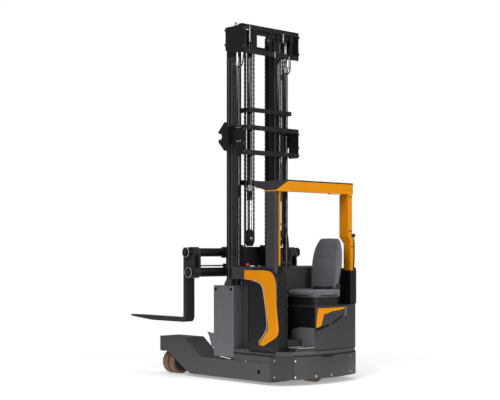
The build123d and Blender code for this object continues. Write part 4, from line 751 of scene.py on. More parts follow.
bolt_tree.links.new(nodes_in.outputs["Points"], spread.inputs["Points"])
bolt_tree.links.new(joined.outputs[0], spread.inputs["Instance"])
bolt_tree.links.new(turned.outputs[0], spread.inputs["Rotation"])
bolt_tree.links.new(size.outputs["Attribute"], spread.inputs["Scale"])
real = bolt_tree.nodes.new("GeometryNodeRealizeInstances")
bolt_tree.links.new(spread.outputs[0], real.inputs[0])
painted = bolt_tree.nodes.new("GeometryNodeSetMaterial")
bolt_tree.links.new(real.outputs[0], painted.inputs["Geometry"])
bolt_tree.links.new(nodes_in.outputs["Finish"], painted.inputs["Material"])
bolt_tree.links.new(painted.outputs[0], nodes_out.inputs["Bolts"])
print("tree:", bolt_tree.name, "nodes:", len(bolt_tree.nodes))

# %% Run a tree and keep its mesh
def bake(obj, tree, settings):
    """Runs a geometry tree on an object and keeps the result as a plain mesh."""
    modifier = obj.modifiers.new(tree.name, "NODES")
    modifier.node_group = tree
    for socket, value in settings:
        modifier[socket.identifier] = value
    result = bpy.data.meshes.new_from_object(obj.evaluated_get(bpy.context.evaluated_depsgraph_get()))
    obj.modifiers.remove(modifier)
    old = obj.data
    obj.data = result
    bpy.data.meshes.remove(old)


def set_bolts(name, rows, finish, body, sides=6, height=0.8):
    """Bolts at a list of (place, direction, radius) on one body."""
    mesh = bpy.data.meshes.new(name)
    mesh.from_pydata([r[0] for r in rows], [], [])
    mesh.attributes.new("aim", "FLOAT_VECTOR", "POINT").data.foreach_set("vector", [c for r in rows for c in r[1]])
    mesh.attributes.new("size", "FLOAT", "POINT").data.foreach_set("value", [r[2] for r in rows])
    obj = bpy.data.objects.new(name, mesh)
    bpy.context.scene.collection.objects.link(obj)
    bake(obj, bolt_tree, [(sides_socket, sides), (height_socket, height), (bolt_material_socket, finishes[finish])])
    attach(obj, body)
    print(name, "bolts:", len(rows), "faces:", len(obj.data.polygons))
    return obj


print("bolt helper ready")

# %% [markdown]
# ## Leaf chains
# The lift chains are stacks of oval plates on pins. A second tree lays a chain along any line: it cuts the
# line into half pitches, sets a pin at every other cut, and sets wide and narrow stacks of plates by turns
# between the pins. The same tree makes the straight strands and the wraps round the wheels. Modelling single
# links by hand and joining them would give the same chain, but its pitch could not be changed later.

# %% Chain tree's sliders
CHAIN_PITCH = 0.0254
PLATE_RADIUS, PLATE_THICK, PLATE_STRETCH = 0.0058, 0.0038, 3.1
PIN_RADIUS, PIN_LENGTH = 0.0034, 0.024
WIDE_STACK, NARROW_STACK = (-0.0086, 0.0, 0.0086), (-0.0043, 0.0043)
chain_tree = bpy.data.node_groups.new("leaf chain", "GeometryNodeTree")
chain_tree.interface.new_socket(name="Line", in_out="INPUT", socket_type="NodeSocketGeometry")
pitch_socket = chain_tree.interface.new_socket(name="Pitch", in_out="INPUT", socket_type="NodeSocketFloat")
pitch_socket.default_value = CHAIN_PITCH
axle_socket = chain_tree.interface.new_socket(name="Pin Axis", in_out="INPUT", socket_type="NodeSocketVector")
axle_socket.default_value = (0.0, 1.0, 0.0)
chain_material_socket = chain_tree.interface.new_socket(name="Finish", in_out="INPUT",
                                                        socket_type="NodeSocketMaterial")
chain_tree.interface.new_socket(name="Chain", in_out="OUTPUT", socket_type="NodeSocketGeometry")
nodes_in = chain_tree.nodes.new("NodeGroupInput")
nodes_out = chain_tree.nodes.new("NodeGroupOutput")


def chain_math(kind, a, b):
    """A maths node on a socket and a number."""
    step = chain_tree.nodes.new("ShaderNodeMath")
    step.operation = kind
    chain_tree.links.new(a, step.inputs[0])
    step.inputs[1].default_value = b
    return step.outputs[0]


def chain_plates(places):
    """Oval plates side by side along the pin."""
    stack = chain_tree.nodes.new("GeometryNodeJoinGeometry")
    for level in places:
        plate = chain_tree.nodes.new("GeometryNodeMeshCylinder")
        plate.inputs["Vertices"].default_value = 12
        plate.inputs["Radius"].default_value = PLATE_RADIUS
        plate.inputs["Depth"].default_value = PLATE_THICK
        lay = chain_tree.nodes.new("GeometryNodeTransform")
        lay.inputs["Translation"].default_value = (0.0, level, 0.0)
        lay.inputs["Rotation"].default_value = (math.radians(90.0), 0.0, 0.0)
        lay.inputs["Scale"].default_value = (1.0, PLATE_STRETCH, 1.0)
        chain_tree.links.new(plate.outputs["Mesh"], lay.inputs["Geometry"])
        chain_tree.links.new(lay.outputs[0], stack.inputs[0])
    return stack.outputs[0]


print("chain pitch:", CHAIN_PITCH)

# %% Chain tree's nodes
line = chain_tree.nodes.new("GeometryNodeMeshToCurve")
chain_tree.links.new(nodes_in.outputs["Line"], line.inputs["Mesh"])
cuts = chain_tree.nodes.new("GeometryNodeResampleCurve")
cuts.mode = "LENGTH"
chain_tree.links.new(line.outputs[0], cuts.inputs["Curve"])
chain_tree.links.new(chain_math("MULTIPLY", nodes_in.outputs["Pitch"], 0.5), cuts.inputs["Length"])
tangent = chain_tree.nodes.new("GeometryNodeInputTangent")
pins_level = chain_tree.nodes.new("FunctionNodeAlignRotationToVector")
pins_level.axis = "Y"
chain_tree.links.new(nodes_in.outputs["Pin Axis"], pins_level.inputs["Vector"])
turned = chain_tree.nodes.new("FunctionNodeAlignRotationToVector")
turned.axis = "Z"
turned.pivot_axis = "Y"
chain_tree.links.new(pins_level.outputs[0], turned.inputs["Rotation"])
chain_tree.links.new(tangent.outputs[0], turned.inputs["Vector"])
number = chain_tree.nodes.new("GeometryNodeInputIndex")
quarter = chain_math("MODULO", number.outputs[0], 4.0)
pin = chain_tree.nodes.new("GeometryNodeMeshCylinder")
pin.inputs["Vertices"].default_value = 8
pin.inputs["Radius"].default_value = PIN_RADIUS
pin.inputs["Depth"].default_value = PIN_LENGTH
pin_lay = chain_tree.nodes.new("GeometryNodeTransform")
pin_lay.inputs["Rotation"].default_value = (math.radians(90.0), 0.0, 0.0)
chain_tree.links.new(pin.outputs["Mesh"], pin_lay.inputs["Geometry"])
links_joined = chain_tree.nodes.new("GeometryNodeJoinGeometry")
for remainder, shape in ((0.0, pin_lay.outputs[0]), (1.0, chain_plates(WIDE_STACK)),
                         (2.0, pin_lay.outputs[0]), (3.0, chain_plates(NARROW_STACK))):
    chosen = chain_tree.nodes.new("FunctionNodeCompare")
    chosen.operation = "EQUAL"
    chosen.inputs["B"].default_value = remainder
    chosen.inputs["Epsilon"].default_value = 0.1
    chain_tree.links.new(quarter, chosen.inputs["A"])
    copies = chain_tree.nodes.new("GeometryNodeInstanceOnPoints")
    chain_tree.links.new(cuts.outputs[0], copies.inputs["Points"])
    chain_tree.links.new(chosen.outputs[0], copies.inputs["Selection"])
    chain_tree.links.new(shape, copies.inputs["Instance"])
    chain_tree.links.new(turned.outputs[0], copies.inputs["Rotation"])
    chain_tree.links.new(copies.outputs[0], links_joined.inputs[0])
real = chain_tree.nodes.new("GeometryNodeRealizeInstances")
chain_tree.links.new(links_joined.outputs[0], real.inputs[0])
painted = chain_tree.nodes.new("GeometryNodeSetMaterial")
chain_tree.links.new(real.outputs[0], painted.inputs["Geometry"])
chain_tree.links.new(nodes_in.outputs["Finish"], painted.inputs["Material"])
chain_tree.links.new(painted.outputs[0], nodes_out.inputs["Chain"])
print("tree:", chain_tree.name, "nodes:", len(chain_tree.nodes))

# %% [markdown]
# ### Strands and wraps
# The rear strands run from the sheave blocks up to the anchors on the inner stage, the front ones from the fork
# carriage up to the head wheels. Each strand is one still mesh that follows no body. Sliding the chain round its
# wheels would be truer, but no joint of the model does it.

# %% Strands
def lay_chain(name, lines, pin_axis):
    """Chain along each line of points, as one plain mesh."""
    verts, edges = [], []
    for points in lines:
        first = len(verts)
        verts.extend(points)
        edges.extend((first + k, first + k + 1) for k in range(len(points) - 1))
    mesh = bpy.data.meshes.new(name)
    mesh.from_pydata(verts, edges, [])
    obj = bpy.data.objects.new(name, mesh)
    bpy.context.scene.collection.objects.link(obj)
    bake(obj, chain_tree, [(pitch_socket, CHAIN_PITCH), (axle_socket, pin_axis),
                           (chain_material_socket, finishes["chain steel"])])
    print(name, "faces:", len(obj.data.polygons))
    return obj


STRAND_X, ANCHOR_X = 0.172, 0.306
REAR_Y, FRONT_Y = -0.218, -0.062
rear = lay_chain("rear_leaf_chains", [[(side * x, REAR_Y, 1.640), (side * x, REAR_Y, 3.990)]
                                      for side in (-1, 1) for x in (STRAND_X, ANCHOR_X)], (0.0, 1.0, 0.0))
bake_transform(rear)
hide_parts("lift_chains")
front = lay_chain("front_leaf_chains", [[(side * STRAND_X, FRONT_Y, 1.535), (side * STRAND_X, FRONT_Y, 4.024)]
                                        for side in (-1, 1)], (1.0, 0.0, 0.0))
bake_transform(front)
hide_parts("front_chains")

# %% Wraps round the wheels
def arc(centre, radius, plane, start, end, steps=24):
    """Points round a circle, in the YZ or the XZ plane."""
    points = []
    for k in range(steps + 1):
        angle = math.radians(start + (end - start) * k / steps)
        a, b = radius * math.cos(angle), radius * math.sin(angle)
        points.append((centre[0], centre[1] + a, centre[2] + b) if plane == "YZ"
                      else (centre[0] + a, centre[1], centre[2] + b))
    return points


HEAD_WHEEL_Y, HEAD_WHEEL_Z = -0.140, 4.027
SHEAVE_X, SHEAVE_Z = 0.239, 1.635
head_wraps = lay_chain("head_chain_wraps", [arc((side * STRAND_X, HEAD_WHEEL_Y, HEAD_WHEEL_Z), 0.078, "YZ", 0.0, 180.0)
                                            for side in (-1, 1)], (1.0, 0.0, 0.0))
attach(head_wraps, "inner_stage")
sheave_wraps = lay_chain("sheave_chain_wraps", [arc((side * SHEAVE_X, REAR_Y, SHEAVE_Z), 0.067, "XZ", 180.0, 360.0)
                                                for side in (-1, 1)], (0.0, 1.0, 0.0))
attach(sheave_wraps, "sheave_rods")

# %% [markdown]
# ## Seat
# The cushion and the backrest are foam under cloth. Each starts as a copy of its CAD block, made a little
# smaller and remeshed into even small faces. A cloth simulation then blows it up while the seam lines and the
# underside are held, so the panels crown between the seams as real upholstery does. A subdivided box with
# rounded corners is quicker to make, but it stays flat where foam would swell.

# %% Cushion maker
VOXEL = 0.006
FOAM_PRESSURE, FOAM_FRAMES = 4.0, 20


def soften(node_name, new_name, shrink, cap, held, sink, shape):
    """A padded copy of a CAD block. held, sink and shape say where it is held, sewn down and built up."""
    source = nodes[node_name]
    mesh = source.data.copy()
    mesh.transform(source.matrix_world)
    low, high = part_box(node_name)
    centre = (Vector(low) + Vector(high)) / 2
    centre.z = low[2]
    for vert in mesh.vertices:
        vert.co = centre + Matrix.Diagonal(shrink) @ (vert.co - centre)
    pad = bpy.data.objects.new(new_name, mesh)
    bpy.context.scene.collection.objects.link(pad)
    remesh = pad.modifiers.new("even faces", "REMESH")
    remesh.mode = "VOXEL"
    remesh.voxel_size = VOXEL
    even = bpy.data.meshes.new_from_object(pad.evaluated_get(bpy.context.evaluated_depsgraph_get()))
    pad.modifiers.clear()
    pad.data = even
    for vert in even.vertices:
        vert.co += shape(vert.co)
    start = [v.co.copy() for v in even.vertices]
    group = pad.vertex_groups.new(name="held")
    for index, co in enumerate(start):
        group.add([index], held(co), "REPLACE")
    cloth = pad.modifiers.new("foam", "CLOTH")
    cloth.settings.vertex_group_mass = "held"
    cloth.settings.quality = 4
    cloth.settings.use_pressure = True
    cloth.settings.uniform_pressure_force = FOAM_PRESSURE
    cloth.settings.effector_weights.gravity = 0.0
    for frame_number in range(1, FOAM_FRAMES + 1):
        bpy.context.scene.frame_set(frame_number)
    puffed = bpy.data.meshes.new_from_object(pad.evaluated_get(bpy.context.evaluated_depsgraph_get()))
    bpy.context.scene.frame_set(1)
    pad.modifiers.clear()
    pad.vertex_groups.clear()
    for vert, first in zip(puffed.vertices, start):
        move = vert.co - first
        if move.length > cap:
            vert.co = first + move.normalized() * cap
    pad.data = puffed
    finer = pad.modifiers.new("finer", "SUBSURF")
    finer.levels = 1
    smooth_mesh = bpy.data.meshes.new_from_object(pad.evaluated_get(bpy.context.evaluated_depsgraph_get()))
    pad.modifiers.clear()
    pad.data = smooth_mesh
    for vert in smooth_mesh.vertices:
        depth = sink(vert.co)
        if depth > 0.0:
            vert.co -= vert.normal * depth
    smooth_mesh.materials.clear()
    smooth_mesh.materials.append(finishes["seat cloth"])
    smooth_mesh.shade_smooth()
    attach(pad, "chassis")
    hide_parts(node_name)
    print(new_name, "faces:", len(smooth_mesh.polygons))
    return pad


print("voxel size:", VOXEL)

# %% Seams of the cushion and the backrest
def ridge(distance, width):
    """1 on a line, falling to 0 at its width."""
    share = abs(distance) / width
    return 0.0 if share >= 1.0 else (1.0 - share * share) ** 2


SEAT_MID_Y = -0.953
BOLSTER_Y = 0.150
SEAM_WIDTH, SEAM_DEPTH = 0.010, 0.0045
CUSHION_SEAMS_X = (0.02, 0.15)
BACK_SEAMS_Z = (1.23, 1.42)


def cushion_seams(co):
    """The cushion's sewn lines: two beside the thighs, two across."""
    near = ridge(abs(co.y - SEAT_MID_Y) - BOLSTER_Y, SEAM_WIDTH)
    if abs(co.y - SEAT_MID_Y) < BOLSTER_Y:
        near = max(near, *(ridge(co.x - x, SEAM_WIDTH) for x in CUSHION_SEAMS_X))
    return near if co.z > 1.0 else 0.0


def back_seams(co):
    """The backrest's sewn lines: two upright and two across."""
    half = BOLSTER_Y - 0.025
    near = ridge(abs(co.y - SEAT_MID_Y) - half, SEAM_WIDTH)
    if abs(co.y - SEAT_MID_Y) < half:
        near = max(near, *(ridge(co.z - z, SEAM_WIDTH) for z in BACK_SEAMS_Z))
    return near


print("seams:", len(CUSHION_SEAMS_X) + len(BACK_SEAMS_Z), "across, depth:", SEAM_DEPTH)

# %% Pad the seat
def rise(value, start, end):
    """0 before start, 1 after end, smooth between."""
    share = max(0.0, min(1.0, (value - start) / (end - start)))
    return share * share * (3.0 - 2.0 * share)


def cushion_shape(co):
    """Thigh bolsters at the sides and a front edge that falls away."""
    top = rise(co.z, 0.985, 1.03)
    bolster = 0.010 * rise(abs(co.y - SEAT_MID_Y), 0.150, 0.200)
    return Vector((0.0, 0.0, top * (bolster - 0.016 * rise(-co.x, 0.05, 0.15))))


def back_shape(co):
    """Side bolsters that wrap forward."""
    return Vector((-0.012 * rise(abs(co.y - SEAT_MID_Y), 0.130, 0.190), 0.0, 0.0))


UNDERSIDE_Z = 0.985
SWELL_CAP = 0.012
soften("seat_cushion", "seat_cushion_pad", (0.965, 0.965, 0.86), SWELL_CAP,
       lambda co: 1.0 if co.z < UNDERSIDE_Z else cushion_seams(co), lambda co: SEAM_DEPTH * cushion_seams(co),
       cushion_shape)
soften("seat_back", "seat_back_pad", (0.93, 0.955, 0.985), SWELL_CAP, back_seams,
       lambda co: SEAM_DEPTH * back_seams(co), back_shape)

# %% [markdown]
# ### Hinge, piping and shell
# Two side plates and a block join the cushion to the backrest, a round piping closes the cushion's lower seam,
# and a thin moulded shell covers the back. The piping follows a squared circle worked out by a formula, because
# it needs only three numbers where a drawn outline would need dozens of points.

# %% Seat hinge
bm = bmesh.new()
for side in (-1, 1):
    add_prism(bm, [(0.205, 0.990), (0.300, 0.990), (0.312, 1.110), (0.250, 1.110), (0.232, 1.050)], "Y",
              SEAT_MID_Y + side * 0.188, SEAT_MID_Y + side * 0.202, 0.003)
add_box(bm, (0.232, SEAT_MID_Y - 0.170, 0.985), (0.300, SEAT_MID_Y + 0.170, 1.092), 0.016)
make_piece("seat_hinge", bm, "moulded plastic", "chassis")

# %% Seat piping
PIPING_STEPS = 48
PIPING_HALF_X, PIPING_HALF_Y = 0.231, 0.236
PIPING_MID_X, PIPING_Z = 0.080, 0.986
bm = bmesh.new()
piping = []
for corner in range(PIPING_STEPS):
    angle = math.radians(corner * 7.5)
    squared = (abs(math.cos(angle)) ** 5 + abs(math.sin(angle)) ** 5) ** -0.2
    piping.append(Vector((PIPING_MID_X + PIPING_HALF_X * squared * math.cos(angle),
                          SEAT_MID_Y + PIPING_HALF_Y * squared * math.sin(angle), PIPING_Z)))
for k in range(PIPING_STEPS):
    add_round(bm, piping[k], piping[(k + 1) % PIPING_STEPS], 0.0045, sides=8)
make_piece("seat_piping", bm, "moulded plastic", "chassis", smooth=True)

# %% Seat shell
def back_face(z):
    """How far forward or back the seat shell lies at this height."""
    share = max(0.0, min(1.0, (z - 1.050) / 0.590))
    lean = 0.074 * share + 0.012 * math.sin(math.pi * share)
    depth = 0.040 + 0.012 * math.sin(math.pi * min(1.0, share * 1.1))
    return 0.270 + lean + depth


shell = bmesh.new()
add_prism(shell, [(SEAT_MID_Y - 0.150, 1.070), (SEAT_MID_Y + 0.150, 1.070), (SEAT_MID_Y + 0.185, 1.150),
                  (SEAT_MID_Y + 0.180, 1.400), (SEAT_MID_Y + 0.140, 1.560), (SEAT_MID_Y + 0.080, 1.600),
                  (SEAT_MID_Y - 0.080, 1.600), (SEAT_MID_Y - 0.140, 1.560), (SEAT_MID_Y - 0.180, 1.400),
                  (SEAT_MID_Y - 0.185, 1.150)], "X", 0.0, 0.009, 0.003)
for k in range(14):
    bmesh.ops.bisect_plane(shell, geom=shell.verts[:] + shell.edges[:] + shell.faces[:],
                           plane_co=(0.0, 0.0, 1.10 + 0.035 * k), plane_no=(0.0, 0.0, 1.0))
for vert in shell.verts:
    vert.co.x += back_face(vert.co.z) - 0.004 - 0.5 * abs(vert.co.y - SEAT_MID_Y) ** 2
make_piece("seat_shell", shell, "moulded plastic", "chassis", smooth=True)

# %% [markdown]
# ## Mast head, yoke and lift details
# The small hardware at the top of the mast gives it its busy outline: bolts on the side plates, a lifting
# eye, chain anchors with their nuts, and hose fittings. The bolts come from the fastener tree. The rest are
# short bars and bent tubes, placed by the same measured points as the plates that carry them.

# %% Mast bolts
SIDE_BOLTS = ((-0.030, 4.078), (-0.030, 3.907), (-0.345, 4.062), (-0.345, 3.860), (-0.060, 2.925), (-0.060, 2.770),
              (-0.342, 2.897), (-0.342, 2.733), (-0.342, 2.640))
rows = []
for side in (-1, 1):
    for y, z in SIDE_BOLTS:
        rows.append(((side * 0.440, y, z), (side, 0.0, 0.0), 0.016))
    for z in (4.090, 3.808, 2.926, 2.634):
        for x in (0.200, 0.380):
            rows.append(((side * x, -0.360, z), (0.0, -1.0, 0.0), 0.010))
    for z in (0.520, 1.600, 2.780, 3.600):
        for y in (-0.172, -0.100):
            rows.append(((side * 0.385, y, z + 0.010), (side, 0.0, 0.0), 0.008))
set_bolts("mast_bolts", rows, "dark steel", "mast_base", height=1.1)

# %% Mast head hardware
bm = bmesh.new()
add_ring(bm, (-0.434, -0.190, 4.130), (1.0, 0.0, 0.0), 0.018, 0.0060, steps=28, sides=10)
add_box(bm, (-0.440, -0.205, 4.108), (-0.428, -0.175, 4.118), 0.002)
add_prism(bm, [(-0.300, 4.115), (-0.225, 4.115), (-0.232, 4.130), (-0.290, 4.134)], "X", -0.436, -0.372, 0.002)
for side in (-1, 1):
    add_box(bm, (side * 0.330 - 0.015, -0.342, 3.836), (side * 0.330 + 0.015, -0.330, 4.060), 0.002)
    add_box(bm, (side * 0.428 - 0.03 * side - 0.002, -0.300, 3.990), (side * 0.428 + 0.002, -0.230, 4.060), 0.004)
make_piece("mast_head_hardware", bm, "mast powder coat", "mast_base")

# %% Rods and nuts on the head's rear bars
ROD_Y = -0.372
bm = bmesh.new()
for x, low_z, high_z in ((-0.385, 3.905, 4.098), (0.166, 3.965, 4.070), (0.262, 3.655, 3.810), (0.025, 3.770, 3.842)):
    add_round(bm, (x, ROD_Y, low_z), (x, ROD_Y, high_z), 0.0070, sides=14, bevel=0.001)
    for level in (low_z + 0.012, high_z - 0.024):
        add_round(bm, (x, ROD_Y, level), (x, ROD_Y, level + 0.012), 0.0135, sides=6, bevel=0.001)
make_piece("head_rods", bm, "bright steel", "mast_base")
bm = bmesh.new()
add_ring(bm, (-0.030, -0.352, 4.000), (0.0, 1.0, 0.0), 0.034, 0.0050, steps=40, sides=10)
add_box(bm, (-0.343, -0.352, 3.836), (-0.247, -0.346, 4.060), 0.001)
for x in (-0.030, 0.105, 0.320):
    add_box(bm, (x - 0.012, -0.356, 3.836), (x + 0.012, -0.346, 4.060), 0.002)
make_piece("head_plates", bm, "gloss black", "mast_base")

# %% Chain anchors on the inner stage
bm = bmesh.new()
for side in (-1, 1):
    for x, top in ((ANCHOR_X, 4.066), (SHEAVE_X, 4.088)):
        add_round(bm, (side * x, REAR_Y, 4.000), (side * x, REAR_Y, top), 0.0075, sides=16, bevel=0.001)
        for level in (4.020, 4.034):
            add_round(bm, (side * x, REAR_Y, level), (side * x, REAR_Y, level + 0.011), 0.0150, sides=6, bevel=0.001)
        add_round(bm, (side * x, REAR_Y, 4.0122), (side * x, REAR_Y, 4.017), 0.0185, sides=20)
    add_round(bm, (side * 0.152, HEAD_WHEEL_Y, HEAD_WHEEL_Z), (side * 0.157, HEAD_WHEEL_Y, HEAD_WHEEL_Z), 0.024,
              sides=24, bevel=0.001)
make_piece("chain_anchors", bm, "bright steel", "inner_stage")

# %% [markdown]
# ### Pipes, ridges and pins on the mast
# Thin pipes feed the cylinders, and each rail is a rolled profile whose edges stand out as fine lines. A tube
# along a smooth curve gives the pipes, and narrow bars with softened edges give the lines, because the lamps
# catch a real edge better than a painted one. The bars are also painted a much lighter grey than the rail, a
# painted highlight along each edge.

# %% Hoses and pipes on the mast
bm = bmesh.new()
for side in (-1, 1):
    add_tube(bm, [(side * 0.395, -0.215, 3.640), (side * 0.395, -0.250, 3.640), (side * 0.392, -0.268, 3.700),
                  (side * 0.385, -0.268, 3.790), (side * 0.375, -0.280, 3.850), (side * 0.360, -0.330, 3.870)],
             0.008, sides=10)
    add_tube(bm, [(side * 0.363, -0.150, 0.700), (side * 0.363, -0.150, 1.500), (side * 0.363, -0.150, 2.550)],
             0.005, sides=8, samples=2)
make_piece("mast_hoses", bm, "rubber hose", "mast_base", smooth=True)
bm = bmesh.new()
for side in (-1, 1):
    add_round(bm, (side * 0.395, -0.178, 3.650), (side * 0.395, -0.178, 3.694), 0.0345, sides=32, bevel=0.002)
    add_round(bm, (side * 0.395, -0.209, 3.640), (side * 0.395, -0.236, 3.640), 0.012, sides=6, bevel=0.001)
add_round(bm, (-0.426, -0.190, 3.662), (-0.500, -0.212, 3.658), 0.005, sides=12)
add_round(bm, (0.380, -0.236, 3.700), (0.300, -0.262, 3.716), 0.006, sides=12)
add_round(bm, (0.300, -0.262, 3.700), (0.300, -0.262, 3.760), 0.010, sides=6)
make_piece("mast_fittings", bm, "turned steel", "mast_base")

# %% Ridges on the outer rails, painted lighter as highlights
# The ridges are painted the towers' lighter grey: painted highlights along the rails' edges, on real thin bars.
bm = bmesh.new()
for side in (-1, 1):
    for y, wide in ((0.025, 0.008), (-0.032, 0.010), (-0.070, 0.004), (-0.107, 0.010)):
        add_box(bm, (side * 0.3495, y - wide / 2, 0.090), (side * 0.3520, y + wide / 2, 3.778), 0.0008)
    for y in (0.0612, -0.1272):
        add_box(bm, (side * 0.322, y, 0.110), (side * 0.345, y * 1.016, 3.775))
make_piece("rail_highlight_ridges", bm, "box enamel", "mast_base")

# %% Pins on the yoke and collars on the hanging cylinders
bm = bmesh.new()
for side in (-1, 1):
    for z in (2.925, 2.768):
        add_round(bm, (side * 0.4440, -0.290, z), (side * 0.4440, -0.205, z), 0.0085, sides=16, bevel=0.002)
    add_round(bm, (side * 0.5020, 0.030, 2.792), (side * 0.5020, 0.005, 2.792), 0.0085, sides=16, bevel=0.002)
make_piece("yoke_pins", bm, "bright steel", "mast_base")
bm = bmesh.new()
for side in (-1, 1):
    x = side * SHEAVE_X
    add_round(bm, (x, REAR_Y, 2.190), (x, REAR_Y, 2.258), 0.0372, sides=40, bevel=0.003)
    for level in (2.205, 2.243):
        add_round(bm, (x, REAR_Y, level), (x, REAR_Y, level + 0.006), 0.0384, sides=40, bevel=0.001)
make_piece("cylinder_collars", bm, "bright steel", "inner_stage")

# %% Sheave pins
bm = bmesh.new()
for side in (-1, 1):
    x = side * SHEAVE_X
    for inner_y, outer_y in ((-0.247, -0.253), (-0.189, -0.183)):
        add_round(bm, (x, inner_y, SHEAVE_Z), (x, outer_y, SHEAVE_Z), 0.021, sides=28, bevel=0.002)
make_piece("sheave_pins", bm, "bright steel", "sheave_rods")

# %% [markdown]
# ## Fork carriage details
# Two thin cylinders pull the forks together. Each rod rides on its fork and slides into a barrel that stays
# with the tubes, so the rod is a piece of its own. The tubes end in caps held by one bolt.

# %% Fork positioners
TUBE_Y = 0.138
POSITIONERS = ((-1, "left", 1.316), (1, "right", 1.392))
bm = bmesh.new()
for side, _, level in POSITIONERS:
    outer, neck, inner = side * 0.330, side * 0.300, -side * 0.085
    add_round(bm, (outer, TUBE_Y, level), (neck, TUBE_Y, level), 0.024, sides=28, bevel=0.002)
    add_round(bm, (neck, TUBE_Y, level), (inner, TUBE_Y, level), 0.019, sides=28, bevel=0.002)
make_piece("positioner_barrels", bm, "mast powder coat", "tilt_frame")
for side, word, level in POSITIONERS:
    bm = bmesh.new()
    add_round(bm, (side * 0.742, TUBE_Y, level), (side * 0.352, TUBE_Y, level), 0.009, sides=20, bevel=0.001)
    add_box(bm, (side * 0.748, 0.116, level - 0.020), (side * 0.732, 0.160, level + 0.020), 0.003)
    make_piece("positioner_rod_" + word, bm, "bright steel", "fork_" + word)

# %% Bright rings at the tube ends
UPPER_TUBE_Z, LOWER_TUBE_Z = 1.472, 1.240
bm = bmesh.new()
for side in (-1, 1):
    add_ring(bm, (side * 0.9255, TUBE_Y, UPPER_TUBE_Z), (1.0, 0.0, 0.0), 0.0555, 0.0035, steps=48, sides=8)
    add_ring(bm, (side * 0.8860, TUBE_Y, LOWER_TUBE_Z), (1.0, 0.0, 0.0), 0.0590, 0.0035, steps=48, sides=8)
make_piece("tube_end_rings", bm, "bright steel", "tilt_frame")

# %% Tube and fork bolts
TUBE_CAPS = ((0.925, UPPER_TUBE_Z, 0.040), (0.885, LOWER_TUBE_Z, 0.043))  # end, height, bolt circle's radius
rows = []
for side in (-1, 1):
    rows += [((side * x, TUBE_Y, z), (side, 0.0, 0.0), 0.016) for x, z, _ in TUBE_CAPS]
    for k in range(6):
        angle = math.radians(60.0 * k + 30.0)
        for x, z, reach in TUBE_CAPS:
            rows.append(((side * x, TUBE_Y + reach * math.cos(angle), z + reach * math.sin(angle)),
                         (side, 0.0, 0.0), 0.0055))
set_bolts("tube_cap_bolts", rows, "dark steel", "tilt_frame")
for side, word in ((-1, "left"), (1, "right")):
    rows = [((side * 0.856, y, z), (side, 0.0, 0.0), 0.008) for z in (1.400, 1.310) for y in (0.100, 0.172)]
    rows += [((side * 0.801, 0.247, z), (0.0, 1.0, 0.0), 0.012) for z in (1.500, 1.260)]
    set_bolts("fork_bolts_" + word, rows, "dark steel", "fork_" + word)

# %% Carriage bolts
rows = []
for side in (-1, 1):
    for x in (0.110, 0.320):
        for z in (1.330, 1.520):
            rows.append(((side * x, 0.084, z), (0.0, 1.0, 0.0), 0.009))
set_bolts("carriage_bolts", rows, "dark steel", "carriage")

# %% [markdown]
# ## Body panels
# The back of the truck is bowed, so its trim bends too. Each trim piece starts as a flat outline in X and Z,
# is cut into narrow strips, and then every point is moved back to the bow. Drawing the trim straight on the
# curved surface by hand would be harder to keep even.

# %% Pod stripe
bm = bmesh.new()
add_bowed(bm, [(-0.201, 0.850), (0.264, 0.852), (0.192, 0.827), (0.010, 0.812), (-0.118, 0.780), (-0.160, 0.655),
               (-0.228, 0.636), (-0.214, 0.780)], 0.0005, 0.003)
stripe = make_piece("pod_stripe", bm, "orange enamel", "chassis")
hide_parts("pod_accent")

# %% Gaps and vents on the panels
VENTS = (((-0.232, 0.600), (-0.039, 0.647), 1, 1.0), ((0.010, 0.661), (0.206, 0.743), 6, 0.80))  # ends, slots, share
bm = bmesh.new()
for (x0, z0), (x1, z1), count, share in VENTS:
    for k in range(count):
        a, b = k / count, (k + share) / count
        foot = [(x0 + (x1 - x0) * t, z0 + (z1 - z0) * t) for t in (a, b)]
        head = [(x + 0.008, z + 0.028) for x, z in reversed(foot)]
        add_bowed(bm, foot + head, 0.0038, 0.0012)
add_bowed(bm, [(-0.505, 0.3235), (0.510, 0.3235), (0.510, 0.336), (-0.505, 0.336)], -0.0004, 0.0010)
add_box(bm, (-0.6640, -1.074, 0.3235), (-0.6632, -0.395, 0.335))
add_box(bm, (-0.6640, -1.079, 0.3600), (-0.6632, -0.655, 0.3755))
add_bowed(bm, [(-0.171, 0.3215), (-0.130, 0.308), (-0.070, 0.301), (0.000, 0.306), (0.050, 0.3215)], -0.0002, 0.0012)
for x in (-0.512, 0.512):
    add_bowed(bm, [(x - 0.002, 0.074), (x + 0.002, 0.074), (x + 0.002, 0.3215), (x - 0.002, 0.3215)], -0.0002, 0.0008)
add_bowed(bm, [(-0.230, 0.3765), (0.645, 0.3765), (0.645, 0.386), (-0.230, 0.386)], 0.0034, 0.0010)
make_piece("panel_gaps", bm, "dark gap", "chassis")
bm = bmesh.new()
add_bowed(bm, [(0.238, 0.745), (0.282, 0.765), (0.292, 0.852), (0.256, 0.852)], 0.0030, 0.0060)
make_piece("pod_vent_frame", bm, "box enamel", "chassis")

# %% [markdown]
# ### Foot well and screws
# The step into the truck is a well with thin dark walls and a kick plate. Thin plates set on the solid walls
# change their finish without cutting the solid. The screws on the bowed back are turned to the bow's slope.

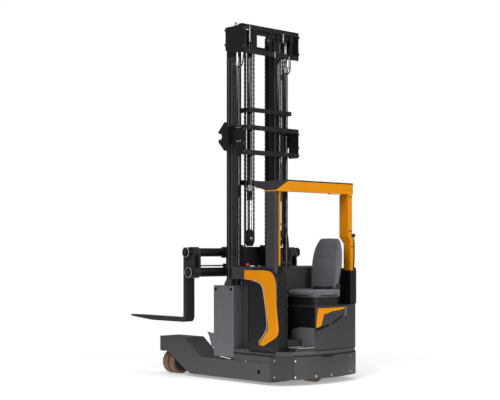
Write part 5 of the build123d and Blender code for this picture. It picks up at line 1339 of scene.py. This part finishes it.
# %% Foot well lining
bm = bmesh.new()
add_box(bm, (-0.2385, -1.270, 0.414), (-0.2352, -0.706, 0.866), 0.001)
add_box(bm, (-0.4760, -0.7070, 0.414), (-0.2400, -0.7035, 1.165), 0.001)
add_box(bm, (-0.4765, -1.075, 0.414), (-0.4735, -0.706, 1.120), 0.001)
make_piece("foot_well_lining", bm, "dark enamel", "chassis")
bm = bmesh.new()
add_prism(bm, [(-1.268, 0.417), (-0.905, 0.417), (-0.905, 0.600), (-1.040, 0.632), (-1.262, 0.632)], "X", -0.2420,
          -0.2388, 0.001)
make_piece("kick_plate", bm, "box enamel", "chassis")
# A pale strip along the foot of the left tower: painted light, standing for the brightness seen through the gap under
# the tower.
bm = bmesh.new()
add_prism(bm, [(-0.181, 0.268), (-0.352, 0.253), (-0.352, 0.264), (-0.181, 0.279)], "X", -0.6660, -0.6632)
make_piece("tower_gap_light_strip", bm, "pale trim", "chassis")

# %% Panel screws
rows = []
for x, z in ((-0.490, 0.276), (-0.490, 0.100), (0.377, 0.286), (0.377, 0.113), (0.0, 0.100), (-0.230, 0.100)):
    slope = (bow_y(x + 0.01, 0.0) - bow_y(x - 0.01, 0.0)) / 0.02
    rows.append(((x, bow_y(x, 0.0), z), Vector((slope, -1.0, 0.0)).normalized(), 0.0075))
for side in (-1, 1):
    for y, z in ((-0.598, 0.249), (-1.060, 0.100), (-1.060, 0.280)):
        rows.append(((side * 0.663, y, z), (side, 0.0, 0.0), 0.007))
set_bolts("panel_screws", rows, "bright steel", "chassis", sides=16, height=0.45)

# %% Tower holes
rows = []
for side in (-1, 1):
    for y in (-0.350, -0.090):
        rows.append(((side * 0.660, y, 1.050), (side, 0.0, 0.0), 0.014))
set_bolts("tower_holes", rows, "dark gap", "chassis", sides=20, height=0.06)

# %% [markdown]
# ### Console trim
# The orange band wraps the console from its side round to its back. It is one extruded outline, and a second
# one bends it round the corner, because a painted area would not have the band's thickness or its soft edge.
# A thin pale tube along the band's inner edge is a painted highlight line.

# %% Console trim
bm = bmesh.new()
add_prism(bm, [(-0.655, 1.168), (-0.846, 1.128), (-0.876, 1.100), (-0.960, 0.634), (-0.800, 0.470), (-0.655, 0.470)],
          "X", -0.6665, -0.6628, 0.001)
make_piece("console_panel", bm, "dark enamel", "chassis")
bm = bmesh.new()
add_prism(bm, [(-0.582, 1.271), (-0.875, 1.275), (-0.985, 1.266), (-1.035, 1.240), (-1.062, 1.196),
               (-1.0828, 1.130), (-1.0828, 0.535), (-1.030, 0.506), (-0.886, 0.436), (-0.815, 0.446),
               (-0.958, 0.610), (-0.966, 0.652), (-0.934, 0.850), (-0.884, 1.080), (-0.850, 1.128),
               (-0.786, 1.152), (-0.582, 1.171)], "X", -0.6628, -0.6690, 0.0012)
add_prism(bm, [(-0.6688, 1.128), (-0.6610, 1.122), (-0.6560, 0.900), (-0.6180, 0.615), (-0.6380, 0.560),
               (-0.6688, 0.537)], "Y", -1.0778, -1.0829, 0.0012)
band = make_piece("band_panel", bm, "orange enamel", "chassis")
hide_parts("console_band")
# A thin pale tube along the band's inner edge: a painted highlight, not a trim strip.
bm = bmesh.new()
highlight_line = [(-0.667, -0.720, 1.160), (-0.667, -0.842, 1.134), (-0.667, -0.878, 1.104), (-0.667, -0.910, 0.930),
             (-0.667, -0.961, 0.642), (-0.667, -0.935, 0.600), (-0.667, -0.812, 0.470)]
add_tube(bm, highlight_line, 0.0035, sides=8, samples=12)
make_piece("console_edge_highlight", bm, "pale trim", "chassis", smooth=True)
bm = bmesh.new()
add_box(bm, (-0.6655, -0.652, 0.460), (-0.6600, -0.640, 1.165), 0.001)
add_box(bm, (-0.6655, -1.020, 0.905), (-0.6600, -1.010, 0.910))
make_piece("console_strip", bm, "dark gap", "chassis")

# %% [markdown]
# ### Step
# The step has a chequered plate with two pale edges, and ribs on the tread above it. The plate's rear edge
# follows the bow of the truck's back, so its points come from the same formula as the back.

# %% Step and tread plate
bm = bmesh.new()
front_edge = [(-0.468, -1.092), (-0.262, -1.092), (-0.242, -1.092)]
rear_edge = [(x, bow_y(x, 0.014)) for x in (-0.242, -0.300, -0.360, -0.420, -0.468)]
add_prism(bm, front_edge + rear_edge, "Z", 0.4122, 0.4160)
make_piece("tread_plate", bm, "tread plate", "chassis")
bm = bmesh.new()
add_prism(bm, [(x, bow_y(x, -0.001)) for x in (-0.250, -0.320, -0.390, -0.455)]
          + [(x, bow_y(x, 0.016)) for x in (-0.455, -0.390, -0.320, -0.250)], "Z", 0.4162, 0.4190)
add_box(bm, (-0.455, -1.094, 0.4162), (-0.245, -1.066, 0.4192))
make_piece("tread_edges", bm, "pale trim", "chassis")
bm = bmesh.new()
for k in range(9):
    x = -0.456 + k * 0.0235
    add_box(bm, (x, -1.060, 0.5002), (x + 0.010, -0.730, 0.5045), 0.0015)
make_piece("step_ribs", bm, "moulded plastic", "chassis")

# %% Tower bracket
bm = bmesh.new()
add_prism(bm, [(-0.335, 1.0912), (-0.215, 1.0912), (-0.215, 1.120), (-0.250, 1.168), (-0.335, 1.168)], "X", -0.640,
          -0.575, 0.004)
make_piece("tower_bracket", bm, "grey enamel", "chassis")
bm = bmesh.new()
add_round(bm, (-0.641, -0.262, 1.140), (-0.652, -0.262, 1.140), 0.013, sides=24, bevel=0.002)
make_piece("tower_bracket_pin", bm, "bright steel", "chassis")

# %% [markdown]
# ## Controls beside the seat
# A bent pipe runs from the hood to the left post, a strut stands behind the right post, and a red stop button
# and a small screen stand on the hood. The steering wheel gets a rim of its own in place of the plain disc,
# because a disc would hide the console under it.

# %% Pipe, strut and knobs
bm = bmesh.new()
add_tube(bm, [(-0.055, -0.690, 1.300), (-0.070, -0.700, 1.400), (-0.150, -0.770, 1.690), (-0.306, -0.850, 1.800),
              (-0.430, -0.910, 1.800), (-0.530, -0.955, 1.700), (-0.568, -0.975, 1.690)], 0.0075, sides=12)
add_tube(bm, [(0.604, -1.092, 1.655), (0.604, -1.106, 1.640), (0.604, -1.112, 1.450), (0.600, -1.106, 1.290),
              (0.598, -1.096, 1.270)], 0.006, sides=10)
make_piece("driver_pipes", bm, "rubber hose", "chassis", smooth=True)
bm = bmesh.new()
add_round(bm, (0.600, -1.084, 1.671), (0.606, -1.112, 1.671), 0.020, sides=28, bevel=0.004)
add_round(bm, (-0.055, -0.690, 1.290), (-0.055, -0.690, 1.322), 0.020, sides=28, bevel=0.003)
make_piece("driver_knobs", bm, "moulded plastic", "chassis")

# %% Steering wheel
bm = bmesh.new()
hub = Vector((-0.437, SEAT_MID_Y, 1.356))
WHEEL_RADIUS, RIM_THICK = 0.098, 0.0105
add_ring(bm, hub, (0.0, 0.0, 1.0), WHEEL_RADIUS, RIM_THICK, steps=56, sides=14)
add_round(bm, hub - Vector((0, 0, 0.011)), hub + Vector((0, 0, 0.008)), 0.030, sides=32, bevel=0.004)
for k in range(3):
    angle = math.radians(90.0 + 120.0 * k)
    out_dir = Vector((math.cos(angle), math.sin(angle), 0.0))
    add_round(bm, hub + out_dir * 0.020, hub + out_dir * 0.094, 0.0075, sides=12)
add_round(bm, hub + Vector((0.0, 0.094, 0.008)), hub + Vector((0.0, 0.094, 0.045)), 0.014, sides=24, bevel=0.004)
add_round(bm, (hub.x, hub.y, 1.288), (hub.x, hub.y, 1.347), 0.014, sides=24)
add_box(bm, (-0.4768, -1.018, 1.210), (-0.407, -0.710, 1.290), 0.010)
wheel = make_piece("steering_wheel", bm, "moulded plastic", "chassis")
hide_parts("controls")

# %% Screen and stop button
STOP_X, STOP_Y = -0.560, -0.520
bm = bmesh.new()
add_box(bm, (-0.300, -0.640, 1.312), (-0.120, -0.600, 1.330), 0.004)
add_prism(bm, [(-0.655, 1.322), (-0.640, 1.318), (-0.600, 1.425), (-0.615, 1.431)], "X", -0.300, -0.120, 0.003)
add_round(bm, (STOP_X, STOP_Y, 1.306), (STOP_X, STOP_Y, 1.322), 0.030, sides=28, bevel=0.003)
make_piece("driver_screen", bm, "moulded plastic", "chassis")
bm = bmesh.new()
add_round(bm, (STOP_X, STOP_Y, 1.322), (STOP_X, STOP_Y, 1.346), 0.021, sides=32, bevel=0.006)
make_piece("stop_button", bm, "red cap", "chassis")

# %% [markdown]
# ### Overhead guard
# The left post carries a thin orange plate, the right post stands in a dark casing, and bolts hold the roof to
# its posts. The plate gets softened edges here, because a sharp edge catches no light and looks drawn.

# %% Guard details
bm = bmesh.new()
add_box(bm, (-0.5898, -1.0660, 1.325), (-0.5760, -0.905, 2.1495), 0.003)
plate_edge = make_piece("guard_plate_edge", bm, "orange enamel", "chassis")
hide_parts("guard_plate")
bm = bmesh.new()
add_prism(bm, [(0.549, -0.968), (0.549, -1.102), (0.620, -1.102), (0.640, -1.080), (0.662, -1.076),
               (0.662, -0.968)], "Z", 0.8705, 1.262, 0.006)
make_piece("post_casing", bm, "dark enamel", "chassis")
bm = bmesh.new()
add_prism(bm, [(-1.076, 0.872), (-1.076, 1.262), (-1.068, 1.290), (-1.040, 1.304), (-1.000, 1.300), (-0.985, 1.281),
               (-0.985, 0.872)], "X", 0.655, 0.678, 0.004)
make_piece("wall_end_cap", bm, "grey enamel", "chassis")
bm = bmesh.new()
add_box(bm, (0.232, -1.076, 2.140), (0.385, -1.030, 2.1496), 0.003)
make_piece("roof_lamp", bm, "pale trim", "chassis")

# %% Guard bolts
ROOF_Z = 2.280
rows = []
for x in (-0.420, -0.200, 0.100, 0.400, 0.580):
    rows.append(((x, -1.045, ROOF_Z), (0.0, 0.0, 1.0), 0.007))
    if x > -0.4:
        rows.append(((x, -0.600, ROOF_Z), (0.0, 0.0, 1.0), 0.007))
for z in (2.120, 1.720):
    for x in (0.548, 0.588):
        rows.append(((x, -1.080, z), (0.0, -1.0, 0.0), 0.007))
for z in (1.540, 1.000):
    for x in (0.572, 0.602):
        rows.append(((x, -1.095, z), (0.0, -1.0, 0.0), 0.007))
set_bolts("guard_bolts", rows, "dark steel", "chassis")

# %% [markdown]
# ## Wheels
# The load wheels' treads get a rounded shoulder and a mould seam, turned from a short profile. The rims get
# a ring of bolts. The profile is spun round the axle, which is how such a tread is cast.

# %% Treads
def spin_profile(bm, profile, centre, steps=72):
    """Turns a closed profile of (along, radius) points round a Y axis through centre."""
    rings = []
    for k in range(steps):
        angle = 2.0 * math.pi * k / steps
        rings.append([bm.verts.new((centre[0] + r * math.cos(angle), centre[1] + along,
                                    centre[2] + r * math.sin(angle))) for along, r in profile])
    for k in range(steps):
        a, b = rings[k], rings[(k + 1) % steps]
        for j in range(len(profile)):
            n = (j + 1) % len(profile)
            bm.faces.new((a[j], a[n], b[n], b[j]))


TREAD = [(-0.0450, 0.1103), (-0.0450, 0.1340), (-0.0425, 0.1390), (-0.0370, 0.1418), (-0.0280, 0.1425),
         (-0.0010, 0.1425), (0.0000, 0.1419), (0.0010, 0.1425), (0.0280, 0.1425), (0.0370, 0.1418), (0.0425, 0.1390),
         (0.0450, 0.1340), (0.0450, 0.1103)]
AXLE_X, AXLE_Y, AXLE_Z = 0.508, 0.792, 0.1425
BOLT_CIRCLE = 0.062
for side, word in ((-1, "left"), (1, "right")):
    bm = bmesh.new()
    for row in (-1, 1):
        spin_profile(bm, TREAD, (side * AXLE_X, AXLE_Y + row * 0.058, AXLE_Z))
    tread_piece = make_piece("cast_treads_" + word, bm, "tan tread", "load_wheels_" + word, smooth=True)
    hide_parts("load_treads_" + word)
    rows = []
    for row in (-1, 1):
        for k in range(8):
            angle = math.radians(45.0 * k)
            rows.append(((side * AXLE_X + BOLT_CIRCLE * math.cos(angle), AXLE_Y + row * 0.0911,
                          AXLE_Z + BOLT_CIRCLE * math.sin(angle)), (0.0, row, 0.0), 0.0065))
    set_bolts("rim_bolts_" + word, rows, "dark steel", "load_wheels_" + word)
    bm = bmesh.new()
    for row in (-1, 1):
        add_round(bm, (side * AXLE_X, AXLE_Y + row * 0.0962, AXLE_Z), (side * AXLE_X, AXLE_Y + row * 0.1040, AXLE_Z),
                  0.026, sides=28, bevel=0.003)
    make_piece("axle_caps_" + word, bm, "bright steel", "load_head_" + word)
